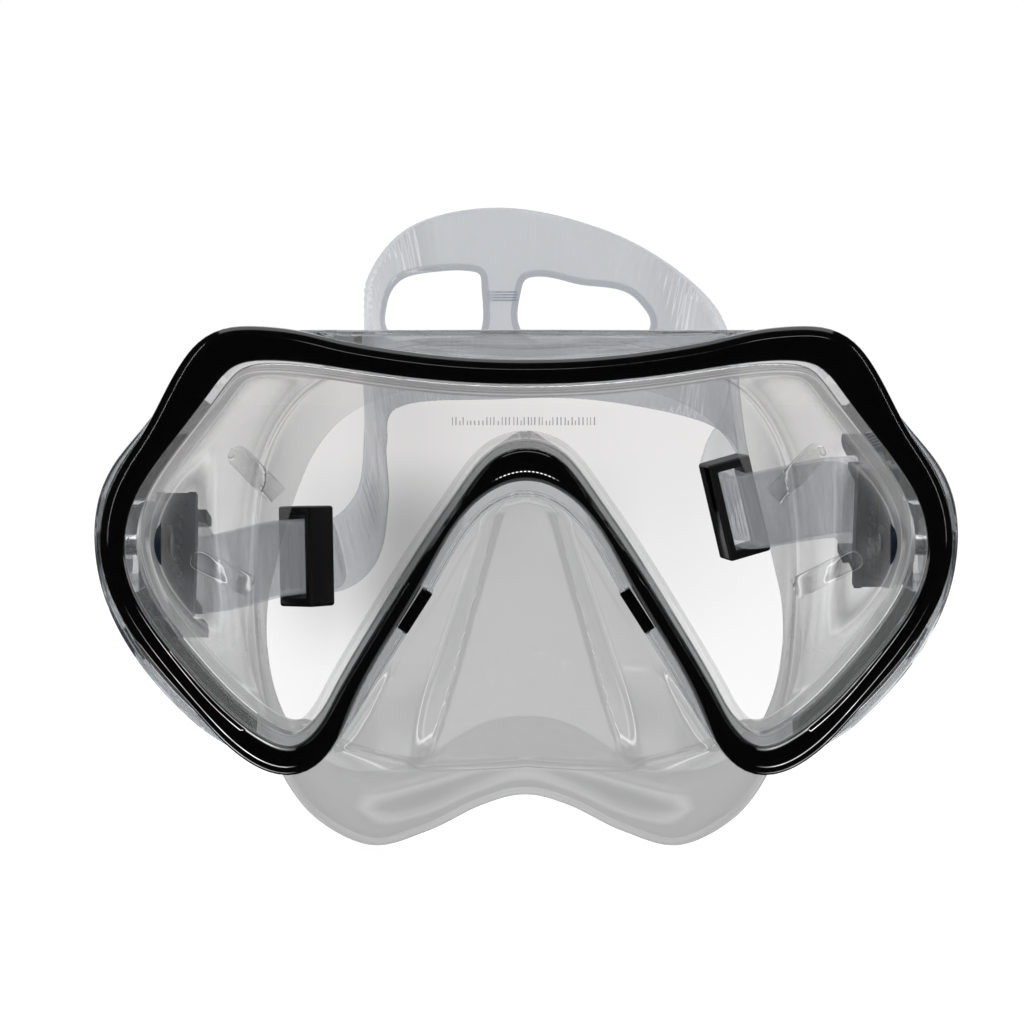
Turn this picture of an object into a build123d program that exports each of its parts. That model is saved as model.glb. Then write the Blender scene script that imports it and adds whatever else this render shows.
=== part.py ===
from build123d import *
import os
import numpy as np

# Single-lens diving mask. Millimetres. X to the right as the mask is seen from
# the front, the lens faces -Y, +Z up. Origin at the centre of the lens's front
# face, so the wearer's side is +Y.

os.makedirs("parts", exist_ok=True)

# ---------------------------------------------------------------- dimensions
LENS_T = 3.5            # toughened glass thickness
LIP = 1.6               # how far the bezel lip covers the lens edge
LENS_BEVEL = 0.5        # depth of the ground bevel under the lip
BEZEL_Y0, BEZEL_Y1 = -2.2, 4.5
BEZEL_BEVEL = 1.3
FRAME_Y0, FRAME_STEP, FRAME_Y1 = 4.6, 8.8, 12.6
SKIRT_T = 2.0           # silicone wall
FACE_R = 105.0          # radius of the face-side surface of the skirt
FACE_Y = 34.0           # depth of that surface on the centre line at forehead height
FACE_TILT = 5.0         # the face side leans back towards the cheeks, degrees
PIVOT_Y = 24.0          # buckle pivot axis (along X), behind the lens face
BUCKLE_X = 74.5         # centre plane of each buckle
PIN_R, PIN_BORE_R = 2.0, 2.05
AXLE_R, ROLLER_BORE_R, ROLLER_R = 1.2, 1.25, 3.0
ROLLER_U, ROLLER_W = 22.0, -0.7
RAIL_V0, RAIL_V1 = 8.9, 10.3
STRAP_W, STRAP_T = 17.0, 2.3
WRAP_GAP = 0.25         # strap to roller
TAB_U, TAB_V = 12.0, 11.8
TAB_PIN_R, TAB_BORE_R = 0.85, 0.90
TILT_LEFT, TILT_RIGHT = -16.0, 12.0   # how the two buckles hang at rest, degrees
KEEPER_L, KEEPER_WALL = 8.0, 1.9

# Half outlines (x, z) from the top centre, round the side, to the nose notch.
OPENING = [(0.00, 33.29), (6.43, 33.40), (12.86, 33.72), (19.27, 34.24), (25.66, 34.95), (32.03, 35.83), (38.40, 36.78), (44.78, 37.58), (51.20, 37.89), (57.43, 36.65), (61.84, 32.03), (65.71, 26.89), (69.66, 21.82), (73.51, 16.66), (76.81, 11.15), (78.78, 5.05), (78.98, -1.36), (77.35, -7.56), (74.31, -13.22), (70.53, -18.42), (66.43, -23.38), (62.15, -28.18), (57.51, -32.63), (52.33, -36.45), (46.37, -38.33), (41.30, -34.58), (38.05, -29.04), (34.91, -23.43), (31.59, -17.92), (28.24, -12.43), (24.88, -6.94), (21.45, -1.50), (17.90, 3.87), (14.24, 9.15), (10.54, 14.41), (6.08, 19.00), (0.00, 20.81)]
BEZEL = [(0.00, 38.13), (6.28, 38.22), (12.56, 38.54), (18.81, 39.09), (25.05, 39.86), (31.26, 40.81), (37.42, 42.02), (43.52, 43.54), (49.73, 44.42), (56.01, 44.58), (62.08, 43.18), (66.66, 38.97), (70.01, 33.66), (72.90, 28.08), (76.02, 22.63), (79.49, 17.40), (82.26, 11.77), (83.80, 5.69), (83.88, -0.57), (82.53, -6.70), (80.04, -12.46), (76.76, -17.81), (73.00, -22.85), (68.98, -27.67), (64.87, -32.43), (60.66, -37.08), (55.89, -41.17), (50.28, -43.93), (44.12, -43.83), (39.26, -39.96), (36.04, -34.58), (33.51, -28.83), (30.65, -23.23), (27.47, -17.82), (24.18, -12.46), (20.98, -7.06), (17.98, -1.54), (14.87, 3.92), (11.04, 8.88), (6.02, 12.62), (0.00, 14.19)]
FRAME = [(0.00, 43.96), (6.26, 43.95), (12.52, 43.93), (18.77, 43.91), (25.03, 43.90), (31.29, 43.90), (37.55, 43.92), (43.81, 43.91), (50.06, 43.81), (56.32, 43.71), (62.31, 42.20), (66.61, 37.71), (69.97, 32.43), (73.80, 27.49), (77.65, 22.55), (81.45, 17.59), (84.21, 11.99), (85.47, 5.87), (85.48, -0.37), (84.40, -6.53), (82.38, -12.45), (79.57, -18.04), (76.12, -23.25), (72.15, -28.09), (67.78, -32.57), (63.06, -36.68), (58.02, -40.38), (52.58, -43.44), (46.50, -44.70), (40.92, -42.18), (36.84, -37.44), (33.45, -32.19), (30.20, -26.84), (26.92, -21.51), (23.60, -16.20), (20.36, -10.85), (17.28, -5.41), (14.19, 0.04), (10.64, 5.18), (5.96, 9.28), (0.00, 10.96)]
# Skirt cup behind the frame, closed under the nose: (x, z) at three depths.
CUP_FRONT = [(0, 32.0), (14, 32.6), (28, 34.2), (42, 36.0), (53, 36.0), (60, 30.5), (66.5, 21.5), (72.0, 12.5), (74.0, 2.0), (72.5, -8.0), (67.0, -18.5), (59.5, -28.0), (51.0, -35.0), (42.0, -36.5), (30.0, -35.5), (18.0, -36.5), (8.0, -38.5), (0, -39.0)]
CUP_MID = [(0, 37.6), (14, 38.0), (28, 38.0), (41, 36.8), (50.5, 33.2), (57.5, 26.5), (62.3, 18.5), (64.8, 9.5), (65.0, 0.5), (63.8, -9.5), (61.5, -20.5), (57.8, -31.0), (52.5, -40.5), (44.5, -47.0), (33.5, -50.5), (22.0, -48.5), (10.0, -45.0), (0, -44.0)]
CUP_REAR = [(0, 41.0), (14, 41.0), (27, 39.8), (38, 37.0), (46.5, 32.5), (52.8, 25.5), (57.0, 17.0), (59.0, 8.0), (60.0, -2.0), (60.3, -13.0), (60.0, -25.0), (58.4, -37.0), (54.2, -49.5), (46.5, -61.0), (33.5, -67.2), (21.0, -63.5), (9.5, -57.5), (0, -55.0)]
# Opening for the upper face, and the nose panel's half widths and depths.
FACE_OPENING = [(0, 31), (12, 31.8), (23, 31.6), (32, 29.0), (39.5, 24.5), (45, 18), (49, 9.5), (52.2, 0), (54.4, -8), (56.2, -16), (56.4, -25.5), (54.4, -36), (49.5, -45), (41, -50.5), (31, -51), (20, -46.5), (9.5, -40), (0, -38.2)]
NOSE = [(8.5, 4.6, 6.3), (-8.0, 8.6, 2.6), (-24.0, 13.8, -0.6), (-36.0, 18.2, -2.2), (-41.0, 19.4, -1.2)]


# ------------------------------------------------------------------- helpers
def full(half):
    """The whole closed outline from its right half."""
    h = np.array(half, float)
    return np.vstack([h, (h[::-1][1:-1]) * [-1, 1]])


def grow(points, d):
    """The outline moved outwards by d along its own normals."""
    p = np.array(points, float)
    t = np.roll(p, -1, 0) - np.roll(p, 1, 0)
    t /= np.linalg.norm(t, axis=1)[:, None]
    n = np.c_[-t[:, 1], t[:, 0]]
    area = 0.5 * np.sum(p[:, 0] * np.roll(p[:, 1], -1) - np.roll(p[:, 0], -1) * p[:, 1])
    return p + n * (d if area < 0 else -d)


def outline_face(points, y):
    edge = Spline(*[Vector(float(x), y, float(z)) for x, z in points], periodic=True)
    return Face(Wire([edge]))


def slab(points, y0, y1):
    return extrude(outline_face(points, y0), amount=y1 - y0, dir=(0, 1, 0))


def poly_prism(points3, direction, length):
    """A straight-sided prism: a planar 3-D polygon swept along direction."""
    face = Face(Wire.make_polygon([Vector(*map(float, p)) for p in points3], close=True))
    return extrude(face, amount=length, dir=direction)


def one(shape):
    """The largest solid of a boolean result."""
    solids = sorted(shape.solids(), key=lambda s: -s.volume)
    return solids[0]


def save(shape, name):
    shape.label = name
    export_step(shape, f"parts/{name}.step")


def cyl_x(r, x0, x1, y, z):
    return Pos((x0 + x1) / 2, y, z) * Rot(0, 90, 0) * Cylinder(r, abs(x1 - x0))


opening, bezel_out, frame_out = full(OPENING), full(BEZEL), full(FRAME)

# ---------------------------------------------------------------------- lens
# The lip bears on a shallow ground bevel, so the flat front face ends just inside the opening.
lens = slab(grow(opening, LIP), LENS_BEVEL, LENS_T)
lens += loft([outline_face(grow(opening, -0.1), 0.0), outline_face(grow(opening, LIP), LENS_BEVEL)])
lens = one(lens)
save(lens, "lens")

# Snap hooks: centre (x, z) on the notch flanks, and along the lower sides.
HOOKS_V = [(22.6, -11.2, 57.5)]
HOOKS_SIDE = [(75.4, -17.0, -58.0), (67.0, 35.5, 57.7)]


def hook_box(x, z, ang, length, wide, y0, y1, side):
    b = Box(length, y1 - y0, wide)
    b = Pos(0, (y0 + y1) / 2, 0) * b
    b = Pos(side * x, 0, z) * Rot(0, side * ang, 0) * b
    return b


# --------------------------------------------------------------------- bezel
bezel = slab(bezel_out, BEZEL_Y0 + BEZEL_BEVEL, BEZEL_Y1)
bezel += loft([outline_face(grow(bezel_out, -BEZEL_BEVEL), BEZEL_Y0), outline_face(bezel_out, BEZEL_Y0 + BEZEL_BEVEL)])
bezel -= slab(opening, BEZEL_Y0 - 1, BEZEL_Y1 + 1)
bezel -= slab(grow(opening, LIP + 0.15), -0.05, BEZEL_Y1 + 1)
for s in (1, -1):
    for x, z, a in HOOKS_V:
        bezel += hook_box(x, z, a, 8.4, 1.2, BEZEL_Y1 - 0.5, 10.4, s)
    for x, z, a in HOOKS_SIDE:
        bezel += hook_box(x, z, a, 6.4, 1.2, BEZEL_Y1 - 0.5, 10.4, s)
bezel = one(bezel)
save(bezel, "bezel")

# --------------------------------------------------------------- inner frame
frame = slab(frame_out, FRAME_Y0, FRAME_Y1)
frame -= slab(grow(opening, LIP + 0.15), FRAME_Y0 - 1, FRAME_STEP)
frame -= slab(grow(opening, -0.9), FRAME_STEP - 0.5, FRAME_Y1 + 1)
for s in (1, -1):
    for x, z, a in HOOKS_V:
        frame -= hook_box(x, z, a, 9.0, 1.7, FRAME_Y0 - 1, FRAME_Y1 + 1, s)
    for x, z, a in HOOKS_SIDE:
        frame -= hook_box(x, z, a, 7.0, 1.7, FRAME_Y0 - 1, FRAME_Y1 + 1, s)
    lug = Pos(s * 79.7, (11.5 + PIVOT_Y) / 2, 0) * Box(3.0, PIVOT_Y - 11.5, 17.6)
    lug += cyl_x(8.8, s * 78.2, s * 81.2, PIVOT_Y, 0)
    lug -= cyl_x(PIN_R + 0.02, s * 77.0, s * 83.0, PIVOT_Y, 0)
    frame += lug
frame = one(frame)
save(frame, "inner_frame")

# --------------------------------------------------------------------- skirt
NECK_OUT, NECK_IN = -1.0, -1.0 - SKIRT_T
face_axis = Rot(FACE_TILT, 0, 0)


def face_cylinder(extra):
    c = Cylinder(FACE_R + extra, 400)
    return Pos(0, FACE_Y + FACE_R, 20) * face_axis * c


def cup(d, y0, bottom=0.0):
    a = outline_face(grow(full(CUP_FRONT), d), y0)
    b = outline_face(grow(full(CUP_MID), d), 27.0)
    c = outline_face(grow(full(CUP_REAR), d), 46.0)
    e = outline_face(grow(full(CUP_REAR), d), 66.0)
    return loft([a, b, c, e])


def nose_body(d):
    """The raised nose panel: rounded sections stacked from bridge to nostrils."""
    sections = []
    for k, (z, hw, yf) in enumerate(NOSE):
        z = z - d if k == 0 else (z + d if k == len(NOSE) - 1 else z)
        hw, yf = hw - d, yf + d
        pts = [(-hw - 1.2, 34.0), (-hw - 0.9, 22.0), (-hw - 0.3, yf + 8.0), (-hw * 0.93, yf + 2.4), (-hw * 0.62, yf + 0.35), (0, yf),
               (hw * 0.62, yf + 0.35), (hw * 0.93, yf + 2.4), (hw + 0.3, yf + 8.0), (hw + 0.9, 22.0), (hw + 1.2, 34.0)]
        e = Spline(*[Vector(float(x), float(y), z) for x, y in pts])
        l = Line(e @ 1, e @ 0)
        sections.append(Face(Wire([e, l])))
    return loft(sections)


def valley(d):
    """The sloping silicone between the nose panel and the frame's notch."""
    w = 1.0 - d
    pts = [(0, 10.4 - d * 1.9), (7.5 * w + 7.5 * d * 0.74, 7.0 - d * 2.0)]
    pts = [(0.0, 10.2), (6.5, 8.4), (10.6, 4.3), (14.0, -0.6), (20.2, -11.0), (26.8, -21.8), (33.3, -32.4), (36.4, -37.0), (34.0, -41.5), (20.0, -41.5), (8.0, -41.5)]
    pts = np.array(pts + [(0.0, -41.5)])
    whole = np.vstack([pts, (pts[::-1][1:-1]) * [-1, 1]])
    whole = whole if d == 0 else shrink(whole, d)
    face = Face(Wire.make_polygon([Vector(float(x), 9.0 + d, float(z)) for x, z in whole], close=True))
    return extrude(face, amount=24.0, dir=(0, 1, 0))


def shrink(p, d):
    """Moves each side of a polygon inwards by d (mitred corners)."""
    q = []
    n = len(p)
    area = 0.5 * np.sum(p[:, 0] * np.roll(p[:, 1], -1) - np.roll(p[:, 0], -1) * p[:, 1])
    for i in range(n):
        a, b, c = p[i - 1], p[i], p[(i + 1) % n]
        u, v = (b - a) / np.linalg.norm(b - a), (c - b) / np.linalg.norm(c - b)
        nu, nv = np.array([-u[1], u[0]]), np.array([-v[1], v[0]])
        if area < 0:
            nu, nv = -nu, -nv
        m = (nu + nv)
        m /= max(0.35, np.dot(m, nu))
        q.append(b + m * d)
    return np.array(q)


outer = slab(grow(opening, NECK_OUT), LENS_T + 0.05, 15.0)
outer += cup(0, 13.0)
outer += valley(0)
outer += nose_body(0)
outer -= face_cylinder(0)
inner = slab(grow(opening, NECK_IN), 0.0, 16.5)
cavity = cup(-SKIRT_T, 15.0)
cavity += valley(SKIRT_T)
cavity += nose_body(SKIRT_T)
cavity -= face_cylinder(SKIRT_T)
skirt = outer - cavity
skirt -= inner
bead = slab(grow(opening, LIP), LENS_T + 0.05, FRAME_STEP - 0.1) - slab(grow(opening, -2.6), 0, 20)
skirt += bead
skirt -= slab(full(FACE_OPENING), 28.0, 90.0)
skirt = one(skirt)
save(skirt, "skirt")

# -------------------------------------------------------------------- buckle
# Local frame of a buckle: u rearwards from the pivot, v up, w outwards.


def uvw(side, u0, u1, v0, v1, w0, w1):
    return Pos(side * (BUCKLE_X + (w0 + w1) / 2), PIVOT_Y + (u0 + u1) / 2, (v0 + v1) / 2) * Box(w1 - w0, u1 - u0, v1 - v0)


def profile_uv(side, pts, w0, w1):
    p3 = [(side * (BUCKLE_X + w0), PIVOT_Y + u, v) for u, v in pts]
    return poly_prism(p3, (side, 0, 0), w1 - w0)


def cyl_v(r, u, w, v0, v1, side):
    return Pos(side * (BUCKLE_X + w), PIVOT_Y + u, (v0 + v1) / 2) * Cylinder(r, v1 - v0)


def cyl_w(r, u, v, w0, w1, side):
    return cyl_x(r, side * (BUCKLE_X + w0), side * (BUCKLE_X + w1), PIVOT_Y + u, v)


def tab_profile():
    """Lever from its pivot to the serrated grip, upper tab (v > 0)."""
    pts = [(10.6, 10.75), (13.4, 10.75), (16.5, 10.9), (27.2, 11.75), (28.2, 11.0), (36.5, 10.95), (38.6, 11.6), (39.0, 12.6)]
    for k in range(6):                       # grip teeth
        u = 38.2 - k * 2.0
        pts += [(u, 13.6 - 0.06 * k), (u - 0.9, 13.6 - 0.06 * k), (u - 1.1, 12.8 - 0.05 * k), (u - 1.9, 12.8 - 0.05 * k)]
    pts += [(24.5, 13.0), (20.0, 12.7), (14.0, 13.0), (10.8, 13.0)]
    return pts


def tab(side, up):
    pts = [(u, up * v) for u, v in tab_profile()]
    t = profile_uv(side, pts, -3.1, 1.7)
    grip = [(u, up * v) for u, v in tab_profile() if u >= 26.0 and u > 26.0]
    grip = [(29.2, up * 11.0)] + [(u, up * v) for u, v in tab_profile() if u >= 28.8 and v > 10.9] + [(29.2, up * 12.6)]
    g = profile_uv(side, grip, -4.8, 3.4)
    t += g
    t -= cyl_w(TAB_BORE_R, TAB_U, up * TAB_V, -7, 7, side)
    return t


def buckle_parts(side, tilt, tag):
    hub = cyl_w(8.6, 0, 0, -0.2, 3.6, side)
    hub += profile_uv(side, [(-2.0, -8.2), (-2.0, 8.2), (9.0, 10.3), (15.4, 10.3), (15.4, -10.3), (9.0, -10.3)], -0.2, 3.6)
    hub += uvw(side, 10.2, 15.4, -10.3, 10.3, -4.8, 3.6)
    for v in (1, -1):
        lo, hi = (RAIL_V0, RAIL_V1) if v > 0 else (-RAIL_V1, -RAIL_V0)
        hub += uvw(side, 10.2, 26.8, lo, hi, -4.8, 3.6)
        for w0, w1 in ((-4.8, -3.2), (1.8, 3.6)):
            e0, e1 = (RAIL_V1 - 0.6, 13.1) if v > 0 else (-13.1, -RAIL_V1 + 0.6)
            hub += uvw(side, 10.2, 13.8, e0, e1, w0, w1)
    # thumb recess on the outer face, and a rib either side of it
    hub -= profile_uv(side, [(8.8, -5.5), (8.8, 5.5), (14.2, 5.5), (14.2, -5.5)], 2.4, 5.0)
    for v in (1, -1):
        hub -= cyl_w(TAB_PIN_R + 0.02, TAB_U, v * TAB_V, -7, 7, side)
    hub -= cyl_w(PIN_BORE_R, 0, 0, -6, 8, side)
    hub -= cyl_v(AXLE_R + 0.02, ROLLER_U, ROLLER_W, -14, 14, side)
    body = one(hub)
    roller = cyl_v(ROLLER_R, ROLLER_U, ROLLER_W, -RAIL_V0 + 0.15, RAIL_V0 - 0.15, side) - cyl_v(ROLLER_BORE_R, ROLLER_U, ROLLER_W, -20, 20, side)
    axle = cyl_v(AXLE_R, ROLLER_U, ROLLER_W, -RAIL_V1, RAIL_V1, side)
    pins = [cyl_w(TAB_PIN_R, TAB_U, v * TAB_V, -4.8, 3.6, side) for v in (1, -1)]
    axis = Axis((0, PIVOT_Y, 0), (1, 0, 0))
    out = {
        f"buckle_body_{tag}": body,
        f"strap_roller_{tag}": one(roller),
        f"roller_axle_{tag}": one(axle),
        f"release_tab_upper_{tag}": one(tab(side, 1)),
        f"release_tab_lower_{tag}": one(tab(side, -1)),
    }
    for name, shape in out.items():
        save(shape.rotate(axis, tilt), name)
    save(Compound(children=[p.rotate(axis, tilt) for p in pins]), f"tab_pins_{tag}")
    pin = cyl_x(PIN_R, side * 73.0, side * 81.4, PIVOT_Y, 0) + cyl_x(3.9, side * 81.25, side * 82.7, PIVOT_Y, 0)
    save(one(pin), f"pivot_pin_{tag}")
    cap = cyl_x(3.7, side * 73.0, side * 74.2, PIVOT_Y, 0) - cyl_x(PIN_R + 0.02, side * 70, side * 80, PIVOT_Y, 0)
    save(one(cap), f"pivot_cap_{tag}")


buckle_parts(-1, TILT_LEFT, "left")
buckle_parts(1, TILT_RIGHT, "right")

# --------------------------------------------------------------------- strap
R_WRAP = ROLLER_R + WRAP_GAP + STRAP_T / 2


def buckle_point(side, tilt, u, w):
    a = np.radians(tilt)
    return np.array([side * (BUCKLE_X + w), PIVOT_Y + u * np.cos(a), u * np.sin(a)])


def width_dir(tilt):
    a = np.radians(tilt)
    return np.array([0.0, -np.sin(a), np.cos(a)])


def unit(v):
    v = np.array(v, float)
    return v / np.linalg.norm(v)


# Keeper centres on the inner strap layer, and the strap's direction there.
KEEP_LEFT, KEEP_LEFT_T = np.array([-48.8, 79.0, -7.5]), unit((0.62, 0.78, 0.0))
KEEP_RIGHT, KEEP_RIGHT_T = np.array([47.3, 85.0, 3.0]), unit((-0.26, 0.965, 0.03))
KEEP_LEFT_W, KEEP_RIGHT_W = unit((-0.06, 0.0, 1.0)), unit((-0.24, -0.06, 0.97))

left0 = buckle_point(-1, TILT_LEFT, ROLLER_U, ROLLER_W - R_WRAP)
right0 = buckle_point(1, TILT_RIGHT, ROLLER_U, ROLLER_W - R_WRAP)
uL = np.array([0, np.cos(np.radians(TILT_LEFT)), np.sin(np.radians(TILT_LEFT))])
uR = np.array([0, np.cos(np.radians(TILT_RIGHT)), np.sin(np.radians(TILT_RIGHT))])
# (point, width direction, width) along the strap from the left roller to the right one
MAIN = [
    (left0, width_dir(TILT_LEFT), STRAP_W),
    (left0 + uL * 12.0 + [1.3, 0, 0], width_dir(TILT_LEFT), STRAP_W),
    (KEEP_LEFT - KEEP_LEFT_T * 10.0, KEEP_LEFT_W, STRAP_W),
    (KEEP_LEFT, KEEP_LEFT_W, STRAP_W),
    (KEEP_LEFT + KEEP_LEFT_T * 10.0, KEEP_LEFT_W, STRAP_W),
    (np.array([-37.0, 98.0, -2.0]), unit((-0.12, -0.20, 1.0)), 18.0),
    (np.array([-35.5, 112.0, 10.5]), unit((-0.16, -0.42, 1.0)), 21.0),
    (np.array([-36.6, 128.0, 27.0]), unit((-0.10, -0.34, 1.0)), 29.0),
    (np.array([-35.2, 144.5, 40.2]), unit((-0.04, -0.16, 1.0)), 37.0),
    (np.array([-24.5, 159.0, 48.2]), unit((0.0, -0.08, 1.0)), 46.5),
    (np.array([-6.0, 167.0, 51.0]), unit((0.0, -0.06, 1.0)), 50.0),
    (np.array([15.0, 167.5, 48.6]), unit((0.0, -0.06, 1.0)), 45.6),
    (np.array([34.0, 160.0, 42.4]), unit((-0.04, -0.10, 1.0)), 38.5),
    (np.array([47.5, 146.0, 34.8]), unit((-0.10, -0.18, 1.0)), 31.5),
    (np.array([52.6, 128.0, 25.6]), unit((-0.14, -0.30, 1.0)), 25.5),
    (np.array([51.4, 113.0, 16.6]), unit((-0.20, -0.26, 1.0)), 20.5),
    (np.array([46.4, 102.5, 8.6]), unit((-0.24, -0.14, 1.0)), 18.0),
    (KEEP_RIGHT + KEEP_RIGHT_T * 10.0, KEEP_RIGHT_W, STRAP_W),
    (KEEP_RIGHT, KEEP_RIGHT_W, STRAP_W),
    (KEEP_RIGHT - KEEP_RIGHT_T * 10.0, KEEP_RIGHT_W, STRAP_W),
    (right0 + uR * 11.0 + [-1.2, 0, 0], width_dir(TILT_RIGHT), STRAP_W),
    (right0, width_dir(TILT_RIGHT), STRAP_W),
]


def catmull(rows, n_sub):
    """Centripetal-like cubic through the rows, n_sub steps between neighbours."""
    p = np.array(rows, float)
    d = np.linalg.norm(np.diff(p[:, :3], axis=0), axis=1) ** 0.5
    t = np.r_[0, np.cumsum(d)]
    m = np.zeros_like(p)
    m[0] = (p[1] - p[0]) / (t[1] - t[0])
    m[-1] = (p[-1] - p[-2]) / (t[-1] - t[-2])
    for i in range(1, len(p) - 1):
        a = (p[i] - p[i - 1]) / (t[i] - t[i - 1])
        b = (p[i + 1] - p[i]) / (t[i + 1] - t[i])
        wa, wb = t[i + 1] - t[i], t[i] - t[i - 1]
        m[i] = (a * wa + b * wb) / (wa + wb)
    out = []
    for i in range(len(p) - 1):
        h = t[i + 1] - t[i]
        for k in range(n_sub):
            s = k / n_sub
            out.append((2 * s**3 - 3 * s**2 + 1) * p[i] + (s**3 - 2 * s**2 + s) * h * m[i] + (-2 * s**3 + 3 * s**2) * p[i + 1] + (s**3 - s**2) * h * m[i + 1])
    out.append(p[-1])
    return np.array(out)


rows = [np.r_[p, w, [wd]] for p, w, wd in MAIN]
path = catmull(rows, 3)


def frames(pts, wdir):
    t = np.gradient(pts, axis=0)
    t /= np.linalg.norm(t, axis=1)[:, None]
    w = wdir - (wdir * t).sum(1)[:, None] * t
    w /= np.linalg.norm(w, axis=1)[:, None]
    n = np.cross(t, w)
    return t, w, n


tan, wid, nor = frames(path[:, :3], path[:, 3:6])
# the outward side of the band: away from the head, which is inside the loop
centre = np.array([2.0, 95.0, 15.0])
if np.dot(nor[len(nor) // 2], path[len(path) // 2, :3] - centre) < 0:
    nor = -nor


def tail(side):
    """The free end: from the roller's outer side, back over the arm, through the keeper."""
    idx = list(range(0, 15)) if side < 0 else list(range(len(path) - 1, len(path) - 16, -1))
    p = path[idx, :3]
    s = np.r_[0, np.cumsum(np.linalg.norm(np.diff(p, axis=0), axis=1))]
    keep = KEEP_LEFT if side < 0 else KEEP_RIGHT
    s_keep = s[np.argmin(np.linalg.norm(p - keep, axis=1))]
    f = np.clip(s / (s_keep - 12.0), 0, 1)
    f = f * f * (3 - 2 * f)
    gap = 2 * R_WRAP + (STRAP_T + 0.35 - 2 * R_WRAP) * f
    q = p + nor[idx] * gap[:, None]
    use = s < s_keep + 13.0
    return q[use], wid[idx][use]


def wrap(side, tilt):
    """Half turn round the front of the roller, from its inner to its outer side."""
    pts = []
    for k in range(1, 12):
        a = np.pi * k / 12
        pts.append(buckle_point(side, tilt, ROLLER_U - R_WRAP * np.sin(a), ROLLER_W - R_WRAP * np.cos(a)))
    return np.array(pts)


qL, wL = tail(-1)
qR, wR = tail(1)
wrL, wrR = wrap(-1, TILT_LEFT), wrap(1, TILT_RIGHT)
pts = np.vstack([qL[::-1], wrL[::-1], path[:, :3], wrR, qR])
wds = np.vstack([wL[::-1], np.tile(width_dir(TILT_LEFT), (len(wrL), 1)), path[:, 3:6], np.tile(width_dir(TILT_RIGHT), (len(wrR), 1)), wR])
wid_mm = np.r_[np.full(len(qL) + len(wrL), STRAP_W), path[:, 6], np.full(len(qR) + len(wrR), STRAP_W)]
T, W, N = frames(pts, wds)
sections = []
for p, w, n, b in zip(pts, W, N, wid_mm):
    c = [p + w * b / 2 + n * STRAP_T / 2, p - w * b / 2 + n * STRAP_T / 2, p - w * b / 2 - n * STRAP_T / 2, p + w * b / 2 - n * STRAP_T / 2]
    sections.append(Wire.make_polygon([Vector(*map(float, v)) for v in c], close=True))
strap = Solid.make_loft(sections, True)
HOLE_LEFT = [(-33.4, 42.8), (-34.7, 44.4), (-34.9, 49.5), (-33.8, 53.6), (-31.2, 56.9), (-27.5, 58.4), (-22.5, 59.2), (-13.4, 59.4), (-11.2, 58.6), (-10.7, 56.2), (-10.7, 44.4), (-11.4, 42.8), (-14.0, 42.2), (-24.0, 42.0)]
HOLE_RIGHT = [(-0.4, 44.2), (-0.4, 54.6), (0.6, 57.2), (3.4, 58.1), (15.1, 56.0), (28.4, 53.1), (31.4, 50.0), (33.2, 46.6), (32.4, 43.4), (29.0, 42.2), (14.0, 42.0), (1.2, 42.4)]
for hole in (HOLE_LEFT, HOLE_RIGHT):
    strap = strap - slab(np.array(hole), 130.0, 200.0)
strap = one(strap)
save(strap, "strap")


# ------------------------------------------------------------------- keepers
def keeper(centre_pt, t, w, n, name):
    mid = centre_pt + n * (STRAP_T + 0.35) / 2
    inner_w, inner_n = STRAP_W + 1.5, 2 * STRAP_T + 1.8
    plane = Plane(origin=tuple(mid), x_dir=tuple(w), z_dir=tuple(t))
    ring = Box(inner_w + 2 * KEEPER_WALL + 0.6, inner_n + 2 * KEEPER_WALL, KEEPER_L)
    ring = fillet(ring.edges(), 0.7)
    ring -= Box(inner_w, inner_n, KEEPER_L * 2)
    save(one(plane * ring), name)


iL = int(np.argmin(np.linalg.norm(path[:, :3] - KEEP_LEFT, axis=1)))
iR = int(np.argmin(np.linalg.norm(path[:, :3] - KEEP_RIGHT, axis=1)))
keeper(path[iL, :3], tan[iL], wid[iL], nor[iL], "strap_keeper_left")
keeper(path[iR, :3], tan[iR], wid[iR], nor[iR], "strap_keeper_right")
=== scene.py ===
"""Looks for the diving mask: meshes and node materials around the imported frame."""
import math

import bpy
import bmesh
import numpy as np
from mathutils import Matrix, Vector
from mathutils.bvhtree import BVHTree


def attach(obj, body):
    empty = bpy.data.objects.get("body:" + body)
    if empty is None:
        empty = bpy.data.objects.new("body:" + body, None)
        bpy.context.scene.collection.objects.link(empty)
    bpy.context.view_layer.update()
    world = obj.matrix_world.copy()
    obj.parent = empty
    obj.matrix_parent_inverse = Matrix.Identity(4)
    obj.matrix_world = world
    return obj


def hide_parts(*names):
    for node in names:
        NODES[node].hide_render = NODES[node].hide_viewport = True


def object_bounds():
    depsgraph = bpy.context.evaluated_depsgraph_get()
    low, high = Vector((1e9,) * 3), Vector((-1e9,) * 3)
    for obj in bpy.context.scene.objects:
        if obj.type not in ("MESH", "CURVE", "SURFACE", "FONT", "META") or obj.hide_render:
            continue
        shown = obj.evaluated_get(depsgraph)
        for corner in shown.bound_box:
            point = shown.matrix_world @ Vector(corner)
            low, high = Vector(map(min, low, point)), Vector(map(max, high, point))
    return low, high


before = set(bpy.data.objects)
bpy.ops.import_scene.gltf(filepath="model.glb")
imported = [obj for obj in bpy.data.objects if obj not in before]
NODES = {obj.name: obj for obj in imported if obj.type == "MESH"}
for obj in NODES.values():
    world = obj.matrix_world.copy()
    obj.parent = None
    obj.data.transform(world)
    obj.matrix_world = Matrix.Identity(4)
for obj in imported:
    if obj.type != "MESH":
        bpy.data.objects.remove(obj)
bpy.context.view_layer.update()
MM = 0.001

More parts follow.
